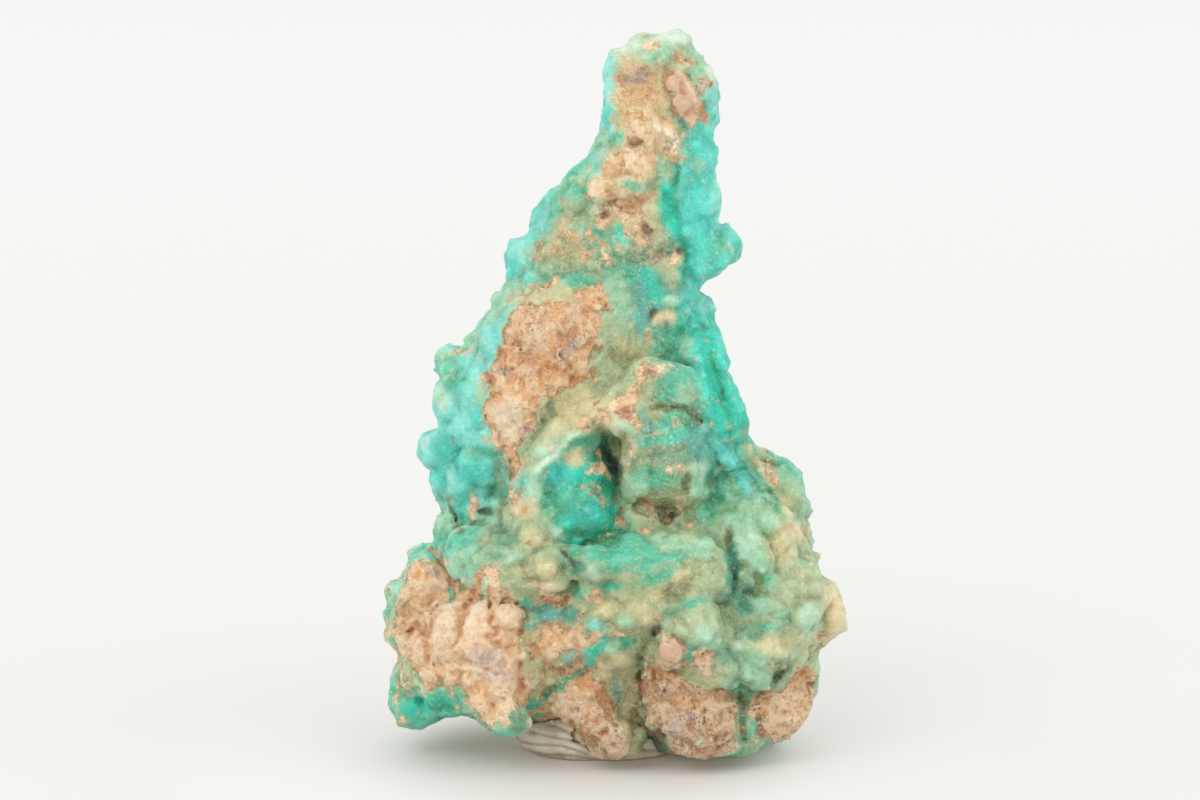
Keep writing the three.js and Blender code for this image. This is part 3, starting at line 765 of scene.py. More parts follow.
# Bare rock as the viewer sees it: how bare (less than 1 leaves a green film), how soft the edge
# is in mm, how far it stands proud in mm, and its outline.
rockPatches = {
    "spireHead": (0.7, 0.6, 0, [
        (0.5, 88.2), (0.8, 90.4), (2.4, 91.2), (5.2, 90.8), (5.8, 89), (5.4, 86.4), (4.8, 84.4),
        (0.7, 84.2),
    ]),
    "spireNeck": (0.8, 0.5, 0.1, [
        (0.8, 84.8), (5.4, 84.6), (7, 83.2), (8.6, 81.2), (9.2, 79), (7.4, 77.8), (6.4, 79.8), (5.2, 78.8),
        (1.2, 79.6), (1.8, 81.2), (1.2, 82.6),
    ]),
    "spireShelf": (0.8, 0.5, 0.2, [
        (-1.8, 78.2), (0.2, 79.8), (5.6, 79.4), (5.8, 76.6), (5, 75), (-1.8, 76),
    ]),
    "spireStep": (0.65, 0.6, 0, [
        (-4, 75.6), (-1.4, 76.8), (1.4, 75.8), (1, 73.8), (-0.8, 72.2), (-3, 72.2), (-3.4, 74.4),
    ]),
    "spireStrip": (0.8, 0.4, 0.1, [(0.6, 71.6), (2, 73), (5.4, 73.6), (5.2, 72.4), (3.2, 71.4)]),
    "spireFilm": (0.5, 1, 0, [
        (5.6, 90.6), (8.6, 91), (8, 88.8), (7.4, 84.6), (8.6, 81.6), (6, 82.2), (5.4, 86),
    ]),
    "pitBand": (0.9, 0.4, 0.3, [
        (-3.1, 71.8), (1.8, 72.6), (3.6, 73.6), (5.2, 73.3), (4, 71.2), (4, 70.2), (5, 69.4), (4.6, 67.8),
        (3.2, 66.8), (2.2, 67.4), (1.6, 69), (2.2, 70.8), (0.4, 71.2), (0, 69.2), (-1.6, 69), (-3, 70.2),
    ]),
    "pitBandRight": (0.7, 0.5, 0.3, [
        (4, 65.6), (5, 67.2), (6.2, 68.2), (7, 66.8), (8.6, 67.2), (8.9, 65), (7.2, 63.4), (6.6, 64.8),
        (4.4, 64.4),
    ]),
    "pinkClast": (1, 0.2, 0.6, [
        (6.5, 88.2), (7.8, 89.2), (8.4, 90.2), (11.4, 85), (11.2, 83.2), (9.8, 81.6), (7.9, 84.4),
        (7.6, 86),
    ]),
    "pinkChip": (1, 0.2, 0.5, [
        (10.5, 87.2), (11, 88.4), (12.2, 88.5), (12.5, 87.6), (11.6, 86.4), (10.8, 86.5),
    ]),
    "speckled": (0.47, 1.4, 0, [
        (-11, 66.2), (-8.6, 68.4), (-7.4, 70), (-0.4, 68.6), (0.6, 66.4), (-2, 64), (-6, 63.6),
        (-9.4, 64.8),
    ]),
    "upperRock": (1, 0.35, 0.2, [
        (-13.5, 58.2), (-12.2, 59.4), (-10, 59), (-6, 59.2), (-5, 60.6), (-2.6, 61.6), (-1, 60.4),
        (-1.9, 58.8), (-1.6, 55.2), (-1.7, 53), (-4.4, 48.8), (-6, 48), (-8, 47.4), (-9.8, 46.2),
        (-10.6, 42.4), (-14.6, 40.6), (-16.2, 42), (-16.2, 45.2), (-17, 47.6), (-17, 50.2), (-15, 52.4),
        (-14, 54), (-14.4, 56.4),
    ]),
    "upperRockStrip": (0.9, 0.3, 0.2, [(-12.6, 60.2), (-10, 61.2), (-8, 62), (-7.9, 61), (-9.6, 60.4)]),
    "upperRockTongue": (1, 0.4, 0.1, [
        (-14.8, 41), (-12, 41.6), (-11.6, 39.6), (-12.4, 37.8), (-13.4, 35.8),
    ]),
    "ridge": (0.95, 0.3, 0.3, [
        (3.8, 52), (5.7, 51.9), (5.7, 50.7), (4.2, 50), (3, 48.6), (3.2, 47), (2.8, 44.2), (1.4, 44),
        (0.6, 45.4), (-1.2, 44.8), (-4.2, 42), (-3.8, 43.6), (-2.2, 45.8), (0.2, 46.6), (2.4, 49.2),
    ]),
    "ridgeRight": (0.55, 0.3, 0.1, [
        (6, 51), (6.4, 51.6), (8.2, 51.8), (9.8, 52.6), (9.4, 51.4), (8.6, 50.6),
    ]),
    "holeFacet": (1, 0.2, 1.2, [(-1.7, 40.4), (-1, 38.8), (-1, 37), (-1.8, 36.8), (-3.2, 37.2)]),
    "stubLeft": (1, 0.2, 0.6, [
        (-19.5, 32), (-18.8, 34), (-18, 34.3), (-17.4, 33), (-18.2, 31), (-19.2, 30.4),
    ]),
    "slopeStone": (0.8, 0.3, 0.3, [
        (18.6, 39.4), (20.4, 38), (21.5, 36), (21.6, 35), (20.4, 35.8), (19.2, 37.6),
    ]),
    "edgeLow": (0.8, 0.3, 0.1, [(26.2, 14.4), (26.6, 16.4), (28.6, 16.2), (27.4, 15)]),
    "lowerLeft": (1, 0.35, 0.2, [
        (-26.4, 26.4), (-22, 26.2), (-21.6, 24.6), (-20.4, 22.8), (-18.8, 22.4), (-16.6, 24.4),
        (-15.4, 25.2), (-14.4, 25), (-13.8, 22.6), (-13.5, 20.2), (-12, 19.4), (-11.1, 18.2), (-11.6, 14.8),
        (-11.2, 11), (-10, 9.6), (-10.8, 8), (-12.4, 7), (-12.9, 5.4), (-14.6, 4.4), (-16.8, 4.2),
        (-19.4, 6.8), (-20.4, 8.8), (-22.6, 9.8), (-24.6, 9.2), (-25.2, 10), (-26, 12), (-27, 13.4),
        (-28.8, 14.6), (-29.2, 15.8), (-28.6, 18), (-28.8, 20.6), (-27, 22.8),
    ]),
    "lowerLeftEdge": (0.6, 0.5, 0.2, [
        (-28.4, 13.4), (-29.2, 11), (-29.4, 8.6), (-28.4, 6.8), (-27.2, 7.8), (-26.8, 10.4), (-27.2, 12.4),
    ]),
    "sliver": (1, 0.25, 0.6, [
        (-10.4, 21.2), (-9.6, 21.9), (-7, 21.5), (-5.6, 20.8), (-6.2, 19.9), (-8.6, 20.3),
    ]),
    "tanPatch": (1, 0.35, 0.3, [
        (-10.8, 16), (-9.6, 17.3), (-6, 17.7), (-4, 17.4), (-3.4, 16.2), (-2.6, 16.6), (-1.9, 16),
        (-4.4, 13.8), (-6.6, 13.6), (-8, 12.2), (-9.6, 13), (-10.8, 14),
    ]),
    "tanPatchLow": (0.95, 0.25, 0.2, [(-7.6, 12.4), (-4.4, 12.6), (-4.6, 11.6), (-7.8, 10.9)]),
    "mottled": (0.52, 0.6, 0, [(-11.2, 14), (-8, 13.6), (-7.4, 11), (-8.6, 8.6), (-10.4, 9.4)]),
    "centreFoot": (1, 0.3, 0.3, [
        (-3, 11.6), (-5.4, 10.4), (-8.6, 8.2), (-10, 6.2), (-9.4, 4), (-6.8, 2.8), (-3, -1.6), (0.4, -1.8),
        (1.8, -0.6), (1.2, 2.8), (1.4, 4.4), (0, 5.2), (-1.4, 9.4),
    ]),
    "clast": (1, 0.15, 0.9, [
        (6.4, 15.6), (7.6, 15.4), (8.8, 13.2), (8.4, 11.8), (7, 11.6), (5.1, 11.9), (5.4, 13.4),
    ]),
    "clastChip": (0.9, 0.25, 0.4, [(10.4, 13.2), (12.2, 13.1), (12.1, 11.6), (10.8, 11.3), (9.5, 12)]),
    "footBlock": (1, 0.2, 0.5, [
        (3.4, 11.2), (4.6, 12.2), (8, 11), (15.4, 7.8), (16.4, 6.8), (15.6, 5.2), (16.2, 3.6), (15, 1.2),
        (12.6, -1.2), (7, -1.2), (6, 2.4), (5, 3.9), (3.8, 4.1), (4.1, 8.6),
    ]),
    "footRight": (1, 0.35, 0.3, [
        (17.2, 7.2), (22.6, 9.4), (23.4, 11.6), (24.8, 12.4), (26.8, 11.4), (26.8, 8.6), (25.4, 6.6),
        (25, 4.4), (23.4, 2.6), (20, 2.4), (18.6, 3), (19.2, 4.6), (17.4, 5.6),
    ]),
}

# Small bare spots: how bare, and the oval.
rockSpots = [
    (0.68, 4.6, 93, 1.2, 0.8), (0.68, 8.4, 91.2, 1.2, 0.8), (0.68, -1.2, 58.4, 1, 0.7),
    (0.75, 4.4, 55.2, 0.7, 1.2), (0.52, 4.2, 52.9, 0.5, 1), (0.68, -0.5, 43.5, 1, 0.8),
    (0.6, 2, 40.3, 1, 1.2), (0.6, 6, 47.8, 0.7, 0.4), (0.52, 9.9, 47.3, 0.5, 0.7),
    (0.34, 8.3, 43.6, 1.3, 0.8), (0.32, 5.8, 42.4, 2.1, 1), (0.52, 8.2, 38, 1, 0.7),
    (0.6, 1.9, 38, 0.7, 0.7), (0.45, 1.1, 36.8, 0.5, 1.6), (0.6, -2.3, 34.3, 1, 1.2),
    (0.6, -4, 35.2, 0.5, 0.5), (0.6, -8.5, 41, 0.7, 0.5), (0.68, -13, 34.3, 1.2, 1),
    (0.68, 0.8, 32.4, 0.4, 1.3), (0.68, 0.9, 30.7, 0.7, 0.7), (0.6, 3.2, 29.9, 0.8, 0.8),
    (0.68, 5.4, 30.7, 1, 0.5), (0.68, 7.2, 32.3, 1, 0.5), (0.68, 8.6, 33.3, 0.5, 1.2, -20),
    (0.75, 3.6, 33.9, 1.8, 0.4, -26), (0.52, 9.8, 30.4, 0.7, 0.4), (0.6, -1.2, 28.7, 0.9, 0.4, 10),
    (0.52, -11.6, 28.2, 0.7, 0.5), (0.68, -2.5, 21.2, 1, 0.8), (0.6, -4.3, 19.3, 0.7, 0.7),
    (0.6, 0.4, 15.7, 0.7, 0.4), (0.52, 5.4, 18.3, 1, 0.5, 30), (0.6, 5.6, 16.7, 0.7, 0.5),
    (0.52, 7.8, 23.5, 0.5, 0.5), (0.68, 3.7, 6, 0.4, 1.8), (0.68, 4.4, 12.6, 0.7, 1),
    (0.68, -19.6, 52.9, 2.2, 0.5, -8), (0.6, -17, 42, 0.5, 0.9), (0.6, 14.7, 43.9, 0.4, 0.8, 20),
    (0.52, 25.6, 26.6, 0.5, 0.8, 30), (0.52, 20.6, 12, 0.7, 0.4, -30), (0.45, -10.2, 5, 1.3, 1),
    (0.68, -27.6, 5, 0.7, 0.8),
]

# Places where crust lies over the rock again.
crustOver = [
    (4.1, 82.2, 0.75, 0.65), (3.9, 84, 0.6, 0.5), (-16.7, 22.3, 0.5, 1.7, -20), (-17.4, 20.8, 0.8, 0.4),
    (-9.2, 48.8, 0.4, 0.3), (-9.7, 47, 0.4, 0.25), (-9.5, 13.2, 0.6, 0.5), (-12.6, 5.6, 0.9, 1),
    (-21.2, 21.6, 0.5, 0.9), (-25.8, 26, 0.4, 0.6), (10.6, 2.2, 1.2, 0.2),
]

# Colours of the crust by region, laid one over another: colour and oval. The dark olive and shade spots set
# in pits, grooves and crevices are painted shade.
crustTints = {
    "under all": [
        ("celadon", 4, 22, 16, 12, 10), ("aqua", -20, 44, 8, 18), ("celadon", 22, 22, 9, 14, 10),
        ("emerald", 13, 50, 5, 12, 18), ("turquoise", 11, 72, 4, 12), ("turquoise", -12, 66, 5, 7),
        ("greyTeal", 5, 42, 8, 10), ("straw", -4, 45, 9, 5, 30), ("emerald", -4, 34, 6, 7),
        ("greyTeal", 2, 62, 7, 8), ("greyTeal", 2, 66, 6, 4), ("celadon", 5, 90, 9, 6),
        ("aqua", -1, 84, 3, 9), ("celadon", -11, 27, 8, 6), ("teal", -22, 30, 4, 4), ("olive", 6, 35, 5, 5),
        ("olive", 1, 13, 5, 12), ("celadon", 11, 18, 6, 5), ("straw", -4, 58, 4, 5),
        ("olive", 10, 10, 8, 5), ("celadon", 1, 52, 4, 5), ("straw", -10, 60, 4, 1.6, 6),
        ("straw", 27, 19, 4, 5), ("straw", 3, 74, 5, 6), ("straw", 3, 84, 4, 8), ("olive", -10, 14, 5, 10),
        ("fawn", 2.8, 86.6, 3, 4.6), ("fawn", 3, 78.6, 4, 3.8), ("fawn", -0.6, 74.2, 2.8, 2),
        ("sage", 5.5, 37, 5, 5.5), ("khaki", 0.6, 7, 2.6, 7), ("ochre", -5, 3.4, 4.6, 2.4, -30),
    ],
    "spire": [
        ("aqua", -0.9, 86, 1.2, 6), ("turquoise", -1.2, 83, 0.9, 2.2), ("haze", 1.6, 92.8, 2.4, 0.9, 20),
        ("haze", 7.6, 93.8, 3, 0.9), ("mint", 5.4, 91.8, 3, 1.2), ("mint", 10, 90, 1.4, 2.4),
        ("haze", 12.7, 89, 0.9, 1.8), ("aqua", 12.6, 85.2, 0.9, 3), ("greyTeal", 8.6, 81.9, 0.9, 1.3),
        ("mint", -1.7, 80.8, 1, 1.6), ("teal", 0.5, 80.7, 1.2, 1, 20), ("teal", 6.1, 78.8, 1, 0.9),
        ("mint", 6.3, 76.6, 1, 1.6), ("teal", 2.8, 74.5, 2.8, 0.8), ("emerald", 7, 71.6, 1.2, 3.2, 4),
        ("mint", 10.8, 77, 0.9, 1.3), ("turquoise", 10.8, 72, 2.6, 4), ("aqua", 13.2, 73, 0.9, 4),
        ("mint", -5.2, 75.2, 2.8, 0.9, 38), ("teal", -4.8, 73, 2.6, 1.8, 30), ("celadon", -5.6, 71, 2.8, 2),
        ("teal", -7.7, 71, 1.1, 1.6), ("aqua", -9.4, 71, 0.8, 2.8, -14),
    ],
    "waist": [
        ("aqua", -12.4, 66.6, 1.8, 1.8), ("olive", -6.6, 66, 4.2, 2.4), ("mint", -9.6, 63.4, 2.4, 1.2),
        ("greyTeal", -6, 63, 3, 0.8), ("teal", -4, 62.3, 3, 0.8), ("teal", -1.6, 67, 1.6, 2.4),
        ("jade", -1.4, 64.8, 1, 0.8, 30), ("emerald", 1, 67.8, 0.8, 1.6), ("teal", 1.6, 63, 2.6, 1.4),
        ("emerald", 4.4, 62.8, 1.3, 2.2), ("celadon", 7, 64.2, 1.8, 1), ("celadon", 7.6, 62.4, 0.9, 1.2),
        ("turquoise", 10.8, 65, 1.8, 4.6), ("aqua", 14.6, 68.2, 1.6, 1.4),
        ("turquoise", 14, 66, 2.4, 2.4, 30), ("teal", 13.4, 66.4, 1.2, 2, -20),
        ("mint", -0.2, 61.4, 1.8, 1.4), ("mint", 0.4, 58.6, 2, 2.6), ("blueTeal", 3.4, 58.6, 1.2, 3.6),
        ("emerald", 5.6, 60.6, 1.3, 1.4), ("shade", 4.9, 58.2, 0.45, 0.8),
        ("paleMint", 7.4, 59.6, 1.1, 0.8), ("sand", 6.4, 57.5, 1.3, 0.8),
        ("turquoise", 9.2, 59.2, 0.8, 1.4), ("aqua", 11.9, 58.7, 1, 1), ("moss", 11.6, 56, 0.3, 0.9, -30),
        ("olive", 1.2, 53.2, 2.6, 1.4), ("teal", 6.6, 53.6, 1.8, 1.2), ("celadon", -0.6, 55, 0.9, 2.4),
        ("turquoise", 11, 53, 1.4, 2.4), ("mint", 9.4, 53.4, 1, 1.6),
    ],
    "left flank": [
        ("paleMint", -14, 61.2, 1.8, 0.9, 30), ("mint", -16, 58.6, 1.4, 2.4, -34),
        ("mint", -18.6, 54.8, 1.2, 1.4, -20), ("aqua", -15.9, 54.6, 1.3, 1.7),
        ("mint", -21.8, 52.2, 1.4, 1), ("teal", -21, 49.6, 1.6, 2), ("paleMint", -22.7, 47.2, 1, 1.6),
        ("mint", -17.4, 47.6, 0.8, 1.8), ("turquoise", -17.2, 44.4, 1, 2), ("lagoon", -22.2, 40.4, 1.4, 2),
        ("lagoon", -20.4, 39.4, 0.7, 2.2), ("teal", -17.2, 40, 2.4, 1), ("lagoon", -18, 37, 2.4, 2),
        ("greyTeal", -14.9, 38.2, 1.1, 2.6), ("turquoise", -22.8, 36.6, 1.2, 1.6),
        ("lagoon", -20.2, 33, 1.4, 1.6), ("deepTeal", -16, 34.7, 0.9, 1), ("mint", -15.3, 35.6, 0.6, 1.2),
        ("shade", -16.7, 32.3, 0.9, 0.4), ("mint", -22.6, 30.8, 1.5, 1.6), ("moss", -20.6, 30, 0.8, 0.5),
        ("olive", -14, 32.6, 1.5, 1.2),
    ],
    "ridge and bowl": [
        ("celadon", -1, 49, 2.4, 1.8), ("sage", -8.7, 44.4, 0.6, 3, -18),
        ("paleMint", -7, 41.2, 3.6, 0.8, 20), ("haze", -8.6, 38.8, 2, 0.6, 24),
        ("celadon", -11.4, 38.4, 1.6, 1.4), ("paleMint", -10.6, 35.6, 1.1, 1.8),
        ("sand", -11.6, 32.6, 1.6, 1.4, 20), ("sand", -5, 39.2, 1.3, 1.1),
        ("paleMint", 1.5, 43.4, 1.3, 0.6, -20), ("teal", -4, 41, 2, 0.7, 20),
        ("lagoon", -7, 36.8, 2.2, 1.6), ("deepTeal", -8.3, 35.2, 1, 1.1),
        ("jade", -2.6, 38.6, 0.7, 2.4, -24), ("emerald", -3, 36.6, 1.8, 2), ("jade", -1.4, 34.8, 1.4, 1.8),
        ("teal", -5.8, 33.4, 3.2, 1.6), ("lagoon", -3.6, 31.6, 2.4, 1.8), ("emerald", -1, 32.4, 0.9, 2.4),
        ("emerald", -6.4, 30.4, 1.5, 1.2), ("moss", 0.3, 37.6, 0.6, 1.2, 14),
        ("deepTeal", -1.6, 41.4, 0.5, 1), ("moss", -0.1, 34, 0.4, 1.2),
    ],
    "brow": [
        ("olive", 1, 40.2, 1.4, 2, -20), ("celadon", 1, 37, 0.7, 1.8), ("teal", 8, 49.4, 2.2, 1.2),
        ("emerald", 6.8, 47.5, 1, 0.9), ("mint", 9.2, 47.6, 1.3, 1.6), ("blueTeal", 3.8, 44, 0.6, 2.2),
        ("moss", 7.4, 45.5, 3, 0.25, 4), ("moss", 10.5, 44.7, 0.4, 0.8, -30),
        ("olive", 5.4, 44.8, 1.4, 0.9), ("teal", 8.4, 44.6, 1.8, 0.8), ("emerald", 7.4, 42.6, 2.6, 1.4),
        ("emerald", 5.6, 41.2, 2.6, 0.8), ("greyTeal", 7, 39.2, 2.8, 1.2), ("teal", 5.4, 36.6, 2.8, 1.6),
        ("mint", 2.6, 35.4, 1.4, 1.2), ("moss", 9.6, 35.2, 0.7, 0.7), ("blueTeal", 11, 41.2, 1.4, 2.4),
        ("paleMint", 11.2, 37.2, 0.7, 1.6, -6), ("mint", 11.2, 35, 1.2, 1.2),
        ("celadon", 3.2, 32.6, 1.8, 1.4), ("shade", 6.6, 31.1, 0.6, 0.6), ("moss", 6, 33.4, 0.9, 0.5),
        ("teal", 11.8, 32, 1.3, 1.4), ("jade", 13.2, 34, 1.1, 1.2), ("deepTeal", 13.2, 36.8, 0.9, 2, -14),
    ],
    "right slope": [
        ("mint", 10.6, 50.4, 0.5, 4.4, 12), ("turquoise", 14.6, 51, 0.9, 6, 12),
        ("emerald", 12.8, 50, 2.2, 6, 16), ("emerald", 14.4, 45, 2.2, 4.4, 16),
        ("greyTeal", 16.8, 42.4, 0.7, 1.4), ("aqua", 12.6, 41, 0.5, 3, 24),
        ("turquoise", 16.2, 38, 1.8, 4.4, 34), ("mint", 15, 36.4, 0.5, 3, 34),
        ("celadon", 18.2, 38.6, 0.8, 2.4, 34), ("shade", 19.4, 39, 0.5, 0.3, -20),
        ("moss", 20.4, 38.6, 0.8, 0.6, -30), ("jade", 20.8, 33.6, 0.6, 2.2, 22),
        ("celadon", 22.8, 34.4, 1.4, 1.6), ("straw", 22.4, 32.6, 0.9, 1.4, 20),
        ("mint", 18.6, 34.6, 1, 2, 34),
    ],
    "apron": [
        ("mint", 16.4, 31.6, 2.1, 1.6), ("paleMint", 17.4, 28, 1.8, 2.2), ("mint", 18.6, 25.6, 1.5, 1.6),
        ("deepTeal", 15.5, 24.6, 0.9, 4.2, 4), ("moss", 15, 28.6, 0.4, 1.4),
        ("greyTeal", 17, 22.8, 1.2, 1.2), ("deepTeal", 16.9, 20.2, 1.3, 1.8, -20),
        ("greyTeal", 14.6, 20.8, 1.4, 0.9), ("teal", 20.2, 22.8, 1, 1.2), ("mint", 19, 19.8, 1.4, 1.2),
        ("teal", 20, 17.2, 1.4, 0.9), ("celadon", 24, 22, 3.4, 5), ("sand", 28.6, 20, 1.2, 3.4),
        ("paleMint", 25.4, 18, 1.4, 2.4), ("straw", 21.8, 28, 1.6, 2.4, 20),
        ("sand", 23.6, 29.6, 1.8, 0.9, -30), ("mint", 19.6, 31, 1.4, 1.2), ("straw", 21, 14.6, 2.4, 1.4),
        ("greyTeal", 17.6, 16.4, 1.8, 1.2), ("mint", 18.2, 12, 2.6, 2), ("greyTeal", 14.4, 13.4, 1.6, 1.5),
        ("haze", 16.2, 14.8, 0.7, 0.7), ("shade", 21.2, 10.9, 0.7, 0.7), ("moss", 21.6, 11.8, 1.2, 0.9, 30),
        ("mint", 22, 18.6, 1.2, 1.4),
    ],
    "tongue": [
        ("emerald", -4.8, 28.6, 1.8, 1), ("jade", -2.8, 29.4, 2.4, 0.6), ("teal", 1.8, 28.8, 3, 0.7, 6),
        ("emerald", 0, 27, 3.4, 0.9, 8), ("teal", 3.6, 27.2, 2.2, 1), ("mint", 7.6, 28.2, 2.8, 0.6),
        ("teal", 7.8, 26.6, 2.8, 0.7, 8), ("mint", 11.4, 27.4, 1.6, 1.5),
        ("teal", -0.2, 24.8, 1.6, 0.9, 10), ("teal", 3.6, 25.4, 2.2, 0.9, 14),
        ("teal", 5.6, 23.8, 2.8, 0.8, 20), ("olive", 10.2, 24.8, 2.2, 0.7, 26),
        ("straw", 9, 23.6, 1.4, 0.8, 26), ("olive", 8, 21.8, 2.4, 1.2, 16), ("teal", -0.4, 22.4, 1.8, 0.6),
        ("straw", 5.6, 21.4, 1.3, 0.7, 20), ("straw", -1, 19.6, 1.8, 1.2), ("straw", 3.6, 19.2, 2, 1),
        ("mint", 1.4, 18.2, 1.4, 0.9), ("teal", 9.8, 20, 2.4, 0.6, 14),
        ("greyTeal", 7.2, 18.8, 1.4, 0.8, 10), ("paleMint", 11.2, 16.4, 2, 1),
        ("mint", 12.6, 14.8, 1.8, 1.1), ("paleMint", -2.9, 24.2, 0.9, 1), ("teal", -1.8, 26.6, 2.4, 0.9, 8),
        ("deepTeal", -4.8, 24.9, 0.9, 0.8), ("jade", -5.2, 26.8, 1.3, 0.7),
        ("moss", -6, 26.2, 1.2, 0.25, -38),
    ],
    "lobe band": [
        ("paleMint", -7.4, 29.6, 1.2, 0.7, -30), ("straw", -10.6, 28.8, 1.6, 1.4),
        ("olive", -11.4, 24.8, 1.6, 1.4), ("straw", -8.8, 25, 1.4, 1.2),
        ("greyTeal", -7, 25.6, 0.7, 1.2, 20), ("moss", -11, 23.4, 0.5, 0.3),
        ("paleMint", -13.4, 26.2, 1.4, 0.8), ("sand", -8.6, 22.6, 2.2, 0.7, -6),
        ("greyTeal", -15, 28.6, 2.4, 1.4), ("celadon", -16.8, 28.4, 0.8, 1.4),
        ("greyTeal", -15.4, 26.4, 1.6, 0.5), ("mint", -19.6, 25.8, 1.9, 1.8),
        ("paleMint", -25.2, 27.4, 1.1, 0.7), ("aqua", -27, 23.8, 1, 1.4, -30), ("paleMint", -29, 22, 1, 1),
        ("celadon", -29.2, 19, 0.7, 1.8), ("haze", -16.6, 22.6, 0.6, 1.6, -20),
    ],
    "foot": [
        ("blueTeal", -8.4, 18.9, 2.6, 1.1), ("deepTeal", -5.6, 18.9, 1.4, 0.9),
        ("emerald", -11.6, 20, 0.7, 0.6), ("turquoise", -10.8, 17.6, 0.5, 1.2, -10),
        ("teal", -4.2, 21.4, 0.8, 1), ("aqua", -2.4, 17.5, 1.2, 0.7), ("emerald", -2.6, 14.8, 1, 2.2, -34),
        ("jade", 1.2, 15, 2.2, 0.8, 10), ("mint", -0.4, 14.4, 0.9, 0.9), ("moss", 4.6, 15.6, 0.7, 2.4, -34),
        ("straw", 0.4, 12.8, 1.1, 0.9), ("sand", -1.4, 11.6, 0.8, 1.3, 30),
        ("greyTeal", 0.4, 8.8, 0.8, 2.2), ("khaki", 2.4, 2.8, 1.4, 3), ("moss", 4.8, 2, 1.5, 2.4, -20),
        ("moss", 3.4, 9.6, 0.45, 3.6), ("shade", 3.3, 12.9, 0.9, 0.7, 30),
        ("turquoise", -5.2, 13.2, 1.5, 0.45, 12), ("emerald", 9.8, 13.4, 0.7, 1.2),
        ("haze", 11.8, 14, 0.9, 0.5), ("celadon", 13, 11.2, 2.4, 1, -20),
        ("mint", 15.8, 9.6, 1.8, 0.9, -10), ("greyTeal", 16.6, 5, 1, 2.4, -20), ("sage", 17, 1.8, 2.6, 1.4),
        ("greyTeal", 17.8, 6, 1.6, 2.4, -20), ("emerald", -10.2, 6.9, 1.4, 0.8),
        ("greyTeal", -12.4, 4.8, 1.6, 1.4), ("olive", -27, 11.4, 1, 2), ("celadon", -26.2, 9.2, 1.4, 0.9),
        ("emerald", -24.4, 7, 2.8, 1.2), ("jade", -22.4, 7, 2, 0.9, -10),
    ],
}
